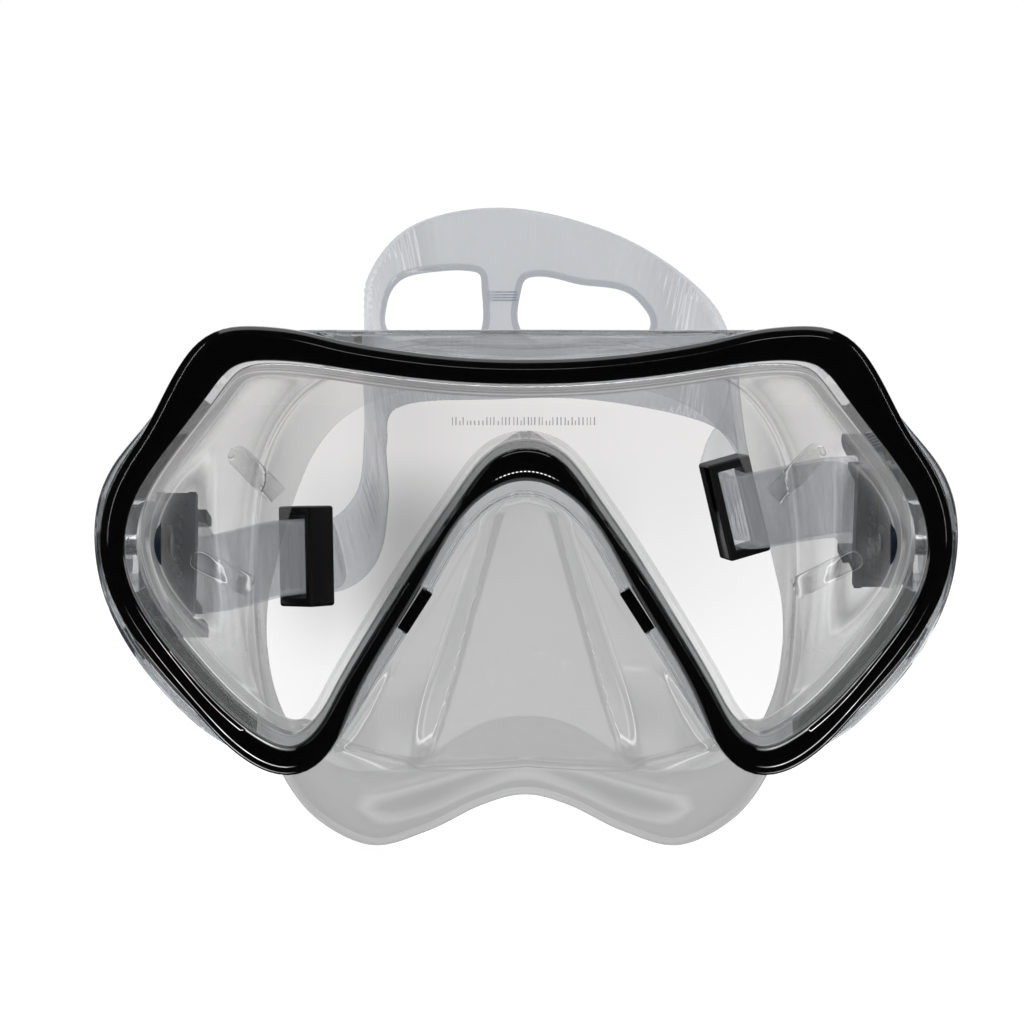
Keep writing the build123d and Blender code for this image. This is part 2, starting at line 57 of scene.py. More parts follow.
# ============================================================ outlines (mm)
OPENING = [(0.00, 33.29), (6.43, 33.40), (12.86, 33.72), (19.27, 34.24), (25.66, 34.95), (32.03, 35.83), (38.40, 36.78), (44.78, 37.58), (51.20, 37.89), (57.43, 36.65), (61.84, 32.03), (65.71, 26.89), (69.66, 21.82), (73.51, 16.66), (76.81, 11.15), (78.78, 5.05), (78.98, -1.36), (77.35, -7.56), (74.31, -13.22), (70.53, -18.42), (66.43, -23.38), (62.15, -28.18), (57.51, -32.63), (52.33, -36.45), (46.37, -38.33), (41.30, -34.58), (38.05, -29.04), (34.91, -23.43), (31.59, -17.92), (28.24, -12.43), (24.88, -6.94), (21.45, -1.50), (17.90, 3.87), (14.24, 9.15), (10.54, 14.41), (6.08, 19.00), (0.00, 20.81)]
BEZEL = [(0.00, 38.13), (6.28, 38.22), (12.56, 38.54), (18.81, 39.09), (25.05, 39.86), (31.26, 40.81), (37.42, 42.02), (43.52, 43.54), (49.73, 44.42), (56.01, 44.58), (62.08, 43.18), (66.66, 38.97), (70.01, 33.66), (72.90, 28.08), (76.02, 22.63), (79.49, 17.40), (82.26, 11.77), (83.80, 5.69), (83.88, -0.57), (82.53, -6.70), (80.04, -12.46), (76.76, -17.81), (73.00, -22.85), (68.98, -27.67), (64.87, -32.43), (60.66, -37.08), (55.89, -41.17), (50.28, -43.93), (44.12, -43.83), (39.26, -39.96), (36.04, -34.58), (33.51, -28.83), (30.65, -23.23), (27.47, -17.82), (24.18, -12.46), (20.98, -7.06), (17.98, -1.54), (14.87, 3.92), (11.04, 8.88), (6.02, 12.62), (0.00, 14.19)]
FRAME = [(0.00, 43.96), (6.26, 43.95), (12.52, 43.93), (18.77, 43.91), (25.03, 43.90), (31.29, 43.90), (37.55, 43.92), (43.81, 43.91), (50.06, 43.81), (56.32, 43.71), (62.31, 42.20), (66.61, 37.71), (69.97, 32.43), (73.80, 27.49), (77.65, 22.55), (81.45, 17.59), (84.21, 11.99), (85.47, 5.87), (85.48, -0.37), (84.40, -6.53), (82.38, -12.45), (79.57, -18.04), (76.12, -23.25), (72.15, -28.09), (67.78, -32.57), (63.06, -36.68), (58.02, -40.38), (52.58, -43.44), (46.50, -44.70), (40.92, -42.18), (36.84, -37.44), (33.45, -32.19), (30.20, -26.84), (26.92, -21.51), (23.60, -16.20), (20.36, -10.85), (17.28, -5.41), (14.19, 0.04), (10.64, 5.18), (5.96, 9.28), (0.00, 10.96)]
CUP_FRONT = [(0, 31.5), (14, 32.2), (28, 33.8), (42, 35.6), (53, 35.6), (60, 30.2), (66.5, 21.2), (72.0, 12.3), (74.0, 2.0), (72.5, -8.0), (67.0, -18.5), (59.5, -28.0), (51.0, -35.0), (42.0, -37.0), (30.0, -35.5), (18.0, -36.5), (8.0, -38.5), (0, -39.0)]
CUP_MID = [(0, 37.4), (14, 37.8), (28, 37.8), (41, 36.6), (50.5, 33.0), (57.5, 26.3), (62.3, 18.3), (64.8, 9.3), (65.0, 0.5), (63.8, -9.5), (61.5, -20.5), (57.8, -31.0), (52.5, -40.5), (44.5, -47.0), (33.5, -50.5), (22.0, -48.5), (10.0, -45.0), (0, -44.0)]
CUP_REAR = [(0, 41.0), (14, 41.0), (27, 39.8), (38, 37.0), (46.5, 32.5), (52.8, 25.5), (57.0, 17.0), (59.0, 8.0), (60.0, -2.0), (60.3, -13.0), (60.0, -25.0), (58.4, -37.0), (54.2, -49.5), (46.5, -61.0), (33.5, -67.2), (21.0, -63.5), (9.5, -57.5), (0, -55.0)]
FACE_IN = [(0, 31), (12, 31.8), (23, 31.6), (32, 29.0), (39.5, 24.5), (45, 18), (49, 9.5), (52.2, 0), (54.4, -8), (56.2, -16), (56.4, -25.5), (54.4, -36), (49.5, -45), (41, -50.5), (31, -51), (20, -46.5), (9.5, -40), (0, -38.2)]


def full(half):
    h = np.array(half, float)
    return np.vstack([h, (h[::-1][1:-1]) * [-1, 1]])


def closed_spline(P, n, dense=6000):
    """Periodic cubic through P, returned as n points evenly spaced by length, starting at P[0]."""
    P = np.array(P, float)
    m = len(P)
    Q = np.vstack([P, P[:1]])
    h = np.linalg.norm(np.diff(Q, axis=0), axis=1)
    A = np.zeros((m, m))
    B = np.zeros((m, P.shape[1]))
    for i in range(m):
        a, b = h[i - 1], h[i]
        A[i, i - 1] += a
        A[i, i] += 2 * (a + b)
        A[i, (i + 1) % m] += b
        B[i] = 6 * ((Q[i + 1] - P[i]) / b - (P[i] - P[i - 1]) / a)
    M = np.linalg.solve(A, B)
    t = np.r_[0, np.cumsum(h)]
    u = np.linspace(0, t[-1], dense + 1)[:-1]
    k = np.clip(np.searchsorted(t, u, side="right") - 1, 0, m - 1)
    s = u - t[k]
    hk = h[k][:, None]
    s1, s2 = (hk[:, 0] - s)[:, None], s[:, None]
    M0, M1 = M[k], M[(k + 1) % m]
    D = (M0 * s1**3 + M1 * s2**3) / (6 * hk) + (P[k] / hk - M0 * hk / 6) * s1 + (P[(k + 1) % m] / hk - M1 * hk / 6) * s2
    E = np.vstack([D, D[:1]])
    L = np.r_[0, np.cumsum(np.linalg.norm(np.diff(E, axis=0), axis=1))]
    want = np.linspace(0, L[-1], n + 1)[:-1]
    return np.stack([np.interp(want, L, E[:, c]) for c in range(P.shape[1])], 1)


def open_spline(P, u):
    """Cubic (Catmull-Rom, chord length) through rows P at parameter u in 0..len(P)-1."""
    P = np.array(P, float)
    k = np.clip(np.floor(u).astype(int), 0, len(P) - 2)
    s = (u - k)[:, None]
    ext = np.vstack([2 * P[0] - P[1], P, 2 * P[-1] - P[-2]])
    p0, p1, p2, p3 = ext[k], ext[k + 1], ext[k + 2], ext[k + 3]
    return 0.5 * ((2 * p1) + (-p0 + p2) * s + (2 * p0 - 5 * p1 + 4 * p2 - p3) * s**2 + (-p0 + 3 * p1 - 3 * p2 + p3) * s**3)


def normals2(p):
    t = np.roll(p, -1, 0) - np.roll(p, 1, 0)
    t /= np.linalg.norm(t, axis=1)[:, None]
    return np.c_[-t[:, 1], t[:, 0]]          # outward for a clockwise outline


def ring_smooth(v, it):
    for _ in range(it):
        v = 0.25 * np.roll(v, 1, 0) + 0.5 * v + 0.25 * np.roll(v, -1, 0)
    return v


def sstep(x, a, b):
    t = np.clip((x - a) / (b - a), 0, 1)
    return t * t * (3 - 2 * t)


N = 480
OP = closed_spline(full(OPENING), N)
ON = normals2(OP)
ON = ring_smooth(ON, 3)
ON /= np.linalg.norm(ON, axis=1)[:, None]


def widths(target):
    """Distance from each opening point, along its normal, to the target outline."""
    T = closed_spline(full(target), 2400)
    A, B = T, np.roll(T, -1, 0)
    D = B - A
    out = np.zeros(N)
    for i in range(N):
        p, n = OP[i], ON[i]
        det = n[0] * -D[:, 1] + n[1] * D[:, 0]
        r = A - p
        with np.errstate(divide="ignore", invalid="ignore"):
            t = (r[:, 0] * -D[:, 1] + r[:, 1] * D[:, 0]) / det
            s = (n[0] * r[:, 1] - n[1] * r[:, 0]) / det
        ok = (np.abs(det) > 1e-9) & (t > 0.3) & (t < 16) & (s >= -1e-6) & (s <= 1 + 1e-6)
        out[i] = t[ok].min() if ok.any() else np.nan
    bad = np.isnan(out)
    if bad.any():
        idx = np.arange(N)
        out[bad] = np.interp(idx[bad], idx[~bad], out[~bad])
    out = ring_smooth(out, 4)
    return 0.5 * (out + out[(-np.arange(N)) % N])


WB = widths(BEZEL)
WF = widths(FRAME)

# ============================================================== mesh makers


def make(name, verts, faces, smooth=True, sharp_deg=38.0, scale=MM):
    me = bpy.data.meshes.new(name)
    me.from_pydata([tuple(float(c) * scale for c in v) for v in verts], [], [tuple(int(i) for i in f) for f in faces])
    me.validate()
    bm = bmesh.new()
    bm.from_mesh(me)
    bmesh.ops.remove_doubles(bm, verts=bm.verts, dist=1e-7)
    bmesh.ops.recalc_face_normals(bm, faces=bm.faces)
    finish_bm(bm, smooth, sharp_deg)
    bm.to_mesh(me)
    bm.free()
    ob = bpy.data.objects.new(name, me)
    bpy.context.scene.collection.objects.link(ob)
    return ob


def finish_bm(bm, smooth=True, sharp_deg=38.0):
    for f in bm.faces:
        f.smooth = smooth
    lim = math.radians(sharp_deg)
    for e in bm.edges:
        if len(e.link_faces) == 2:
            e.smooth = e.calc_face_angle(0.0) < lim
        else:
            e.smooth = False


def ring_mesh(name, loops, closed_profile=True, **kw):
    """loops: list of (N,3) rings of equal length, joined in order (and last to first)."""
    n = len(loops[0])
    verts = np.vstack(loops)
    faces = []
    m = len(loops)
    for j in range(m if closed_profile else m - 1):
        a, b = j * n, ((j + 1) % m) * n
        for i in range(n):
            k = (i + 1) % n
            faces.append((a + i, a + k, b + k, b + i))
    return make(name, verts, faces, **kw)


def at(r, y):
    """Ring of points at distance r (scalar or array) outside the opening, depth y."""
    r = np.broadcast_to(r, (N,))[:, None]
    q = OP + ON * r
    return np.c_[q[:, 0], np.broadcast_to(y, (N,)), q[:, 1]]


def apply_modifiers(ob):
    dg = bpy.context.evaluated_depsgraph_get()
    me = bpy.data.meshes.new_from_object(ob.evaluated_get(dg))
    old = ob.data
    ob.modifiers.clear()
    ob.data = me
    bpy.data.meshes.remove(old)
    return ob


def boolean(ob, other, op, keep=False):
    m = ob.modifiers.new("b", "BOOLEAN")
    m.operation = op
    m.solver = "EXACT"
    m.use_self = True
    m.object = other
    apply_modifiers(ob)
    if not keep:
        bpy.data.objects.remove(other)
    return ob


def bevel(ob, width_mm, segments=2, deg=35.0, sharp_deg=40.0, profile=0.6):
    m = ob.modifiers.new("v", "BEVEL")
    m.width = width_mm * MM
    m.segments = segments
    m.limit_method = "ANGLE"
    m.angle_limit = math.radians(deg)
    m.profile = profile
    m.miter_outer = "MITER_ARC"
    m.use_clamp_overlap = True
    apply_modifiers(ob)
    bm = bmesh.new()
    bm.from_mesh(ob.data)
    bmesh.ops.remove_doubles(bm, verts=bm.verts, dist=1e-7)
    finish_bm(bm, True, sharp_deg)
    bm.to_mesh(ob.data)
    bm.free()
    return ob


def box_obj(name, size, mat4):
    s = np.array(size) / 2
    v = np.array([[x, y, z] for x in (-1, 1) for y in (-1, 1) for z in (-1, 1)]) * s
    f = [(0, 1, 3, 2), (4, 6, 7, 5), (0, 4, 5, 1), (2, 3, 7, 6), (0, 2, 6, 4), (1, 5, 7, 3)]
    v = np.array([(mat4 @ Vector(p))[:] for p in v])
    return make(name, v, f, smooth=False)


def prism(name, pts, normal_axis_pts, smooth=False):
    """pts: (n,3) polygon, extruded by the vector normal_axis_pts."""
    p = np.array(pts, float)
    n = len(p)
    v = np.vstack([p, p + np.array(normal_axis_pts, float)])
    f = [tuple(range(n))[::-1], tuple(range(n, 2 * n))] + [(i, (i + 1) % n, n + (i + 1) % n, n + i) for i in range(n)]
    return make(name, v, f, smooth=smooth)


def add_mat(ob, *mats):
    ob.data.materials.clear()
    for m in mats:
        ob.data.materials.append(m)
    return ob


# ================================================================ materials
class NT:
    """Small helper around a material's node tree."""

    def __init__(self, name):
        self.m = bpy.data.materials.new(name)
        self.m.use_nodes = True
        self.t = self.m.node_tree
        self.t.nodes.clear()
        self.out = self.t.nodes.new("ShaderNodeOutputMaterial")

    def n(self, kind, **inputs):
        node = self.t.nodes.new(kind)
        for k, v in inputs.items():
            if k.startswith("_"):
                setattr(node, k[1:], v)
                continue
            key = k.replace("__", " ")
            sock = None
            if key.startswith("i") and key[1:].isdigit():
                sock = node.inputs[int(key[1:])]
            else:
                sock = node.inputs[key]
            if isinstance(v, bpy.types.NodeSocket):
                self.t.links.new(v, sock)
            else:
                sock.default_value = v
        return node

    def link(self, a, b):
        self.t.links.new(a, b)

    def math(self, op, a, b=0.0, c=None, clamp=False):
        node = self.t.nodes.new("ShaderNodeMath")
        node.operation = op
        node.use_clamp = clamp
        for i, v in enumerate((a, b) if c is None else (a, b, c)):
            if isinstance(v, bpy.types.NodeSocket):
                self.t.links.new(v, node.inputs[i])
            else:
                node.inputs[i].default_value = v
        return node.outputs[0]

    def ramp(self, fac, stops, interp="LINEAR"):
        node = self.t.nodes.new("ShaderNodeValToRGB")
        node.color_ramp.interpolation = interp
        els = node.color_ramp.elements
        while len(els) > 1:
            els.remove(els[-1])
        for i, (p, c) in enumerate(stops):
            e = els[0] if i == 0 else els.new(p)
            e.position = p
            e.color = c if len(c) == 4 else (*c, 1)
        self.link(fac, node.inputs[0])
        return node.outputs[0]

    def mix_rgb(self, fac, a, b, blend="MIX"):
        node = self.t.nodes.new("ShaderNodeMix")
        node.data_type = "RGBA"
        node.blend_type = blend
        for v, s in ((fac, node.inputs[0]), (a, node.inputs[6]), (b, node.inputs[7])):
            if isinstance(v, bpy.types.NodeSocket):
                self.link(v, s)
            else:
                s.default_value = v if not isinstance(v, tuple) or len(v) == 4 else (*v, 1)
        return node.outputs[2]

    def mix_shader(self, fac, a, b):
        node = self.t.nodes.new("ShaderNodeMixShader")
        if isinstance(fac, bpy.types.NodeSocket):
            self.link(fac, node.inputs[0])
        else:
            node.inputs[0].default_value = fac
        self.link(a, node.inputs[1])
        self.link(b, node.inputs[2])
        return node.outputs[0]

    def coords(self):
        return self.n("ShaderNodeTexCoord").outputs["Object"]

    def noise(self, scale, detail=3.0, rough=0.5, coord=None):
        c = coord if coord is not None else self.coords()
        return self.n("ShaderNodeTexNoise", Vector=c, Scale=scale, Detail=detail, Roughness=rough).outputs[0]

    def bump(self, height, strength, dist=0.0002, normal=None):
        b = self.n("ShaderNodeBump", Height=height, Strength=strength, Distance=dist)
        if normal is not None:
            self.link(normal, b.inputs["Normal"])
        return b.outputs[0]

    def done(self, shader):
        self.link(shader, self.out.inputs["Surface"])
        return self.m


def plastic(name, base, dark, rough, rough_var, grain_scale, grain, coat=0.0, spec=0.5, wear=0.25, painted_strip_highlights=False):
    """Moulded plastic: faint colour variation, fine grain, lighter worn edges, roughness variation."""
    t = NT(name)
    c = t.coords()
    broad = t.noise(55.0, 3.0, 0.55, c)
    fine = t.noise(grain_scale, 4.0, 0.6, c)
    col = t.mix_rgb(broad, (*dark, 1), (*base, 1))
    geo = t.n("ShaderNodeNewGeometry")
    edge = t.ramp(geo.outputs["Pointiness"], [(0.50, (0, 0, 0)), (0.60, (1, 1, 1))])
    scuff = t.math("MULTIPLY", edge, t.ramp(t.noise(420.0, 4.0, 0.65, c), [(0.42, (0, 0, 0)), (0.62, (1, 1, 1))]))
    col = t.mix_rgb(t.math("MULTIPLY", scuff, wear), col, tuple(min(1.0, b * 2.4 + 0.03) for b in base) + (1,))
    r = t.math("ADD", t.math("MULTIPLY", fine, rough_var), rough - rough_var * 0.5)
    r = t.math("ADD", r, t.math("MULTIPLY", scuff, 0.10), clamp=True)
    nrm = t.bump(fine, grain, 0.00012)
    p = t.n("ShaderNodeBsdfPrincipled", Base__Color=col, Roughness=r, Normal=nrm, IOR=1.49)
    p.inputs["Specular IOR Level"].default_value = spec
    p.inputs["Coat Weight"].default_value = coat
    p.inputs["Coat Roughness"].default_value = 0.03
    if not painted_strip_highlights:
        return t.done(p.outputs[0])
    # painted highlights: narrow emission lines placed by the surface's direction, standing in for reflections of the
    # strip lights, on the rounded lower corners and over the nose arch
    sn = t.n("ShaderNodeSeparateXYZ", Vector=t.n("ShaderNodeVectorTransform", Vector=geo.outputs["Normal"]).outputs[0])
    so = t.n("ShaderNodeSeparateXYZ", Vector=c)
    front = t.math("MULTIPLY", sn.outputs[1], -1.0)
    line = t.ramp(front, [(0.0, (0, 0, 0)), (0.930, (0, 0, 0)), (0.940, (1, 1, 1)), (0.950, (0, 0, 0))])
    edge_l = t.ramp(front, [(0.0, (0, 0, 0)), (0.60, (0, 0, 0)), (0.66, (1, 1, 1)), (0.72, (0, 0, 0))])
    ax = t.math("ABSOLUTE", so.outputs[0])
    zz = t.math("MULTIPLY_ADD", so.outputs[2], 10.0, 0.5)
    low = t.ramp(zz, [(0.0, (1, 1, 1)), (0.30, (1, 1, 1)), (0.40, (0, 0, 0))])
    outer = t.ramp(t.math("MULTIPLY", ax, 10.0), [(0.0, (0, 0, 0)), (0.455, (0, 0, 0)), (0.50, (1, 1, 1)), (1.0, (1, 1, 1))])
    arch = t.math("MULTIPLY", t.ramp(t.math("MULTIPLY", ax, 10.0), [(0.0, (1, 1, 1)), (0.045, (1, 1, 1)), (0.065, (0, 0, 0))]), t.ramp(zz, [(0.0, (0, 0, 0)), (0.60, (0, 0, 0)), (0.63, (1, 1, 1)), (0.72, (1, 1, 1)), (0.74, (0, 0, 0))]))
    dots = t.math("GREATER_THAN", t.math("FRACT", t.math("MULTIPLY", so.outputs[0], 1250.0)), 0.45)
    brk = t.ramp(t.noise(210.0, 2.0, 0.5, c), [(0.0, (0.35,) * 3), (0.45, (0.55,) * 3), (0.60, (1, 1, 1))])
    a = t.math("MULTIPLY", t.math("MULTIPLY", t.math("MAXIMUM", line, t.math("MULTIPLY", edge_l, 0.45)), brk), t.math("MULTIPLY", low, outer))
    b = t.math("MULTIPLY", t.math("MULTIPLY", line, arch), dots)
    amt = t.math("MULTIPLY", t.math("MAXIMUM", a, b), 2.2)
    painted_highlight_emission = t.n("ShaderNodeEmission", Color=(1, 1, 1, 1), Strength=amt).outputs[0]
    add = t.n("ShaderNodeAddShader")
    t.link(p.outputs[0], add.inputs[0])
    t.link(painted_highlight_emission, add.inputs[1])
    return t.done(add.outputs[0])


def metal(name):
    t = NT(name)
    c = t.coords()
    sc = t.n("ShaderNodeMapping", Vector=c)
    sc.inputs["Scale"].default_value = (1.0, 1.0, 14.0)
    streak = t.noise(900.0, 3.0, 0.6, sc.outputs[0])
    col = t.mix_rgb(streak, (0.52, 0.52, 0.53, 1), (0.72, 0.72, 0.73, 1))
    r = t.math("ADD", t.math("MULTIPLY", streak, 0.14), 0.20)
    p = t.n("ShaderNodeBsdfPrincipled", Base__Color=col, Metallic=1.0, Roughness=r, Normal=t.bump(streak, 0.15, 0.00005))
    return t.done(p.outputs[0])


def clear_soft(name, clear, dense, zone, edge_dark, milky, rough=0.12, bump_scale=260.0, bump=0.05, scatter=(0.50, 0.50, 0.50), gloss=0.7, glow=0.50, gloss_max=0.13, lines=0.30, spark=0.35):
    """Clear silicone: light passes straight through a tinted wall, edges grow denser, a little light is scattered and
    partly painted as glow, narrow dark bands and thin bright edges are painted shade and painted highlights, and the
    skin is satin. zone says where the wall is thick:
    (y from, y to, z from, z to) in metres, dense in front of y and below z."""
    t = NT(name)
    c = t.coords()
    fine = t.noise(bump_scale, 3.0, 0.55, c)
    broad = t.noise(38.0, 3.0, 0.5, c)
    nrm = t.bump(t.math("ADD", t.math("MULTIPLY", fine, 0.35), broad), bump, 0.0006)
    lw = t.n("ShaderNodeLayerWeight", Blend=0.5, Normal=nrm).outputs["Facing"]
    base = (*clear, 1)
    if zone:
        sep = t.n("ShaderNodeSeparateXYZ", Vector=c)
        fy = t.n("ShaderNodeMapRange", Value=sep.outputs[1], _interpolation_type="SMOOTHSTEP")
        fz = t.n("ShaderNodeMapRange", Value=sep.outputs[2], _interpolation_type="SMOOTHSTEP")
        for node, (q0, q1) in ((fy, zone[:2]), (fz, zone[2:])):
            node.inputs["From Min"].default_value = q0
            node.inputs["From Max"].default_value = q1
            node.inputs["To Min"].default_value = 1.0
            node.inputs["To Max"].default_value = 0.0
        zf = t.math("MAXIMUM", fy.outputs[0], fz.outputs[0])
        base = t.mix_rgb(zf, (*clear, 1), (*dense, 1))
    # face-on nearly clear, darker where the wall turns away and the view crosses more of it; the narrow dark bands set
    # by lines are painted shade, standing in for refraction lines
    e = edge_dark
    g = 1.0 - lines
    ed = t.ramp(lw, [(0.0, (1, 1, 1)), (0.09, (1, 1, 1)), (0.17, (1 - 0.35 * lines,) * 3), (0.23, (g,) * 3), (0.29, (1 - 0.3 * lines,) * 3), (0.40, (1, 1, 1)), (0.62, (0.98,) * 3), (0.74, (1 - 0.4 * lines,) * 3), (0.80, (0.99,) * 3), (0.90, (0.5 + 0.5 * e,) * 3), (0.96, (e,) * 3), (1.0, (min(1, e * 1.15),) * 3)])
    tcol = t.mix_rgb(1.0, base, ed, "MULTIPLY")
    var = t.math("ADD", t.math("MULTIPLY", broad, 0.10), 0.95)
    vcol = t.n("ShaderNodeCombineColor", Red=var, Green=var, Blue=var).outputs[0]
    tcol = t.mix_rgb(1.0, tcol, vcol, "MULTIPLY")
    tr = t.n("ShaderNodeBsdfTransparent", Color=tcol).outputs[0]
    dif = t.n("ShaderNodeBsdfDiffuse", Color=(*scatter, 1), Normal=nrm).outputs[0]
    trl = t.n("ShaderNodeBsdfTranslucent", Color=(*scatter, 1), Normal=nrm).outputs[0]
    body = t.mix_shader(0.5, dif, trl)
    # haze: moulded silicone scatters more where the wall is thick or seen edge-on
    k = t.ramp(lw, [(0.0, (1.0,) * 3), (0.7, (0.92,) * 3), (0.93, (1.05,) * 3), (1.0, (1.5,) * 3)])
    k = t.math("MULTIPLY", k, t.math("MULTIPLY_ADD", zf, milky[1] - milky[0], milky[0]) if zone else milky[0])
    k = t.math("MULTIPLY", k, var, clamp=True)
    # painted glow: emission of the scatter colour stands in for light scattered in the wall
    soft = t.n("ShaderNodeEmission", Color=(*scatter, 1), Strength=glow).outputs[0]
    lit = t.n("ShaderNodeAddShader")
    t.link(body, lit.inputs[0])
    t.link(soft, lit.inputs[1])
    mix = t.mix_shader(k, tr, lit.outputs[0])
    fres = t.n("ShaderNodeFresnel", IOR=1.41, Normal=nrm).outputs[0]
    rr = t.math("ADD", t.math("MULTIPLY", fine, 0.08), rough - 0.04)
    gl = t.n("ShaderNodeBsdfGlossy", Color=(1, 1, 1, 1), Roughness=rr, Normal=nrm).outputs[0]
    lp = t.n("ShaderNodeLightPath")
    f = t.math("MINIMUM", t.math("MULTIPLY", fres, gloss), gloss_max)
    f = t.math("MULTIPLY", f, t.math("SUBTRACT", 1.0, lp.outputs["Is Shadow Ray"]))
    body = t.mix_shader(f, mix, gl)
    # painted highlights: thin bright emission edges at set viewing angles, seen by the camera only, standing in for
    # light piped along a fold or rim
    sp = t.ramp(lw, [(0.0, (0, 0, 0)), (0.29, (0, 0, 0)), (0.325, (1, 1, 1)), (0.36, (0, 0, 0)), (0.81, (0, 0, 0)), (0.845, (0.8,) * 3), (0.88, (0, 0, 0))])
    sp = t.math("MULTIPLY", t.math("MULTIPLY", sp, spark), lp.outputs["Is Camera Ray"])
    if zone:
        sp = t.math("MULTIPLY", sp, t.math("MULTIPLY_ADD", fy.outputs[0], 0.72, 0.28))
    painted_highlight_emission = t.n("ShaderNodeEmission", Color=(1, 1, 1, 1), Strength=sp).outputs[0]
    out = t.n("ShaderNodeAddShader")
    t.link(body, out.inputs[0])
    t.link(painted_highlight_emission, out.inputs[1])
    return t.done(out.outputs[0])


def clear_hard(name, tint=(0.982, 0.988, 0.992), ior=1.49, rough=0.0, bump=0.03):
    """Clear polycarbonate: real refraction mixed with straight light, with painted dark bands in the straight light
    where a wall turns away, standing in for refraction shade.
    """
    t = NT(name)
    c = t.coords()
    flow = t.noise(34.0, 2.0, 0.4, c)
    fine = t.noise(300.0, 3.0, 0.5, c)
    nrm = t.bump(t.math("MULTIPLY_ADD", fine, 0.15, flow), bump, 0.0008)
    glass = t.n("ShaderNodeBsdfGlass", Color=(*tint, 1), Roughness=rough, IOR=ior, Normal=nrm).outputs[0]
    lw = t.n("ShaderNodeLayerWeight", Blend=0.5, Normal=nrm).outputs["Facing"]
    # painted shade: dark bands in the straight-through colour at set viewing angles
    col = t.ramp(lw, [(0.0, tint), (0.16, tint), (0.24, tuple(v * 0.72 for v in tint)), (0.32, tint), (0.55, tuple(v * 0.96 for v in tint)), (0.78, (0.62, 0.65, 0.68)), (0.88, (0.90, 0.92, 0.94)), (0.96, (0.30, 0.31, 0.33)), (1.0, (0.55, 0.56, 0.58))])
    tr = t.n("ShaderNodeBsdfTransparent", Color=col).outputs[0]
    gl = t.n("ShaderNodeBsdfGlossy", Color=(1, 1, 1, 1), Roughness=0.03, Normal=nrm).outputs[0]
    fr = t.n("ShaderNodeFresnel", IOR=ior, Normal=nrm).outputs[0]
    lp = t.n("ShaderNodeLightPath")
    fr = t.math("MULTIPLY", fr, t.math("SUBTRACT", 1.0, t.n("ShaderNodeNewGeometry").outputs["Backfacing"]))
    straight = t.mix_shader(t.math("MULTIPLY", fr, t.math("SUBTRACT", 1.0, lp.outputs["Is Shadow Ray"])), tr, gl)
    body = t.mix_shader(0.18, glass, straight)
    through = t.math("MAXIMUM", lp.outputs["Is Shadow Ray"], lp.outputs["Is Diffuse Ray"])
    pale = t.n("ShaderNodeBsdfTransparent", Color=(*tint, 1)).outputs[0]
    return t.done(t.mix_shader(through, body, pale))


def lens_material(name):
    """Toughened glass: a painted grey shade that varies softly over the pane and fades from the side, clean
    reflections.
    """
    t = NT(name)
    c = t.coords()
    sep = t.n("ShaderNodeSeparateXYZ", Vector=c)
    x, z = sep.outputs[0], sep.outputs[2]
    broad = t.noise(14.0, 2.0, 0.45, c)
    # painted shade: a soft grey cast over the pane, clearest towards the two lower corners
    px = t.math("MULTIPLY_ADD", x, 6.0, 0.5)
    stops = [(-80, .92), (-56, .92), (-38, .80), (-24, .62), (-6, .76), (10, .84), (26, .90), (50, .93), (80, .92)]
    tx = t.ramp(px, [(a / 1000 * 6 + 0.5, (v, v, v)) for a, v in stops], "EASE")
    mr = t.n("ShaderNodeMapRange", Value=z, _interpolation_type="SMOOTHSTEP")
    for key, val in (("From Min", -0.006), ("From Max", -0.026), ("To Min", 0.0), ("To Max", 0.80)):
        mr.inputs[key].default_value = val
    up = t.n("ShaderNodeMapRange", Value=z, _interpolation_type="SMOOTHSTEP")
    for key, val in (("From Min", 0.004), ("From Max", 0.022), ("To Min", 0.0), ("To Max", 0.75)):
        up.inputs[key].default_value = val
    tint = t.mix_rgb(up.outputs[0], tx, (0.91, 0.902, 0.90, 1))
    tint = t.mix_rgb(mr.outputs[0], tint, (0.93, 0.93, 0.93, 1))
    var = t.math("MULTIPLY_ADD", broad, 0.04, 0.98)
    v = t.n("ShaderNodeCombineColor", Red=var, Green=var, Blue=var).outputs[0]
    tint = t.mix_rgb(1.0, tint, v, "MULTIPLY")
    # seen from the side the painted grey shade fades and the glass is nearly clear
    turn = t.n("ShaderNodeLayerWeight", Blend=0.5).outputs["Facing"]
    away = t.ramp(turn, [(0.0, (0, 0, 0)), (0.022, (0, 0, 0)), (0.13, (1, 1, 1))])
    tint = t.mix_rgb(away, tint, (0.955, 0.962, 0.962, 1))
    tr = t.n("ShaderNodeBsdfTransparent", Color=tint).outputs[0]
    smear = t.noise(70.0, 5.0, 0.6, c)
    rr = t.math("MULTIPLY_ADD", smear, 0.03, 0.0)
    gl = t.n("ShaderNodeBsdfGlossy", Color=(1, 1, 1, 1), Roughness=rr).outputs[0]
    fres = t.n("ShaderNodeFresnel", IOR=1.5).outputs[0]
    lp = t.n("ShaderNodeLightPath")
    f = t.math("MULTIPLY", fres, t.math("SUBTRACT", 1.0, lp.outputs["Is Shadow Ray"]))
    # a straight ray leaving the back of the pane isn't reflected again
    f = t.math("MULTIPLY", f, t.math("SUBTRACT", 1.0, t.n("ShaderNodeNewGeometry").outputs["Backfacing"]))
    f = t.math("MULTIPLY", f, 0.8)
    return t.done(t.mix_shader(f, tr, gl))
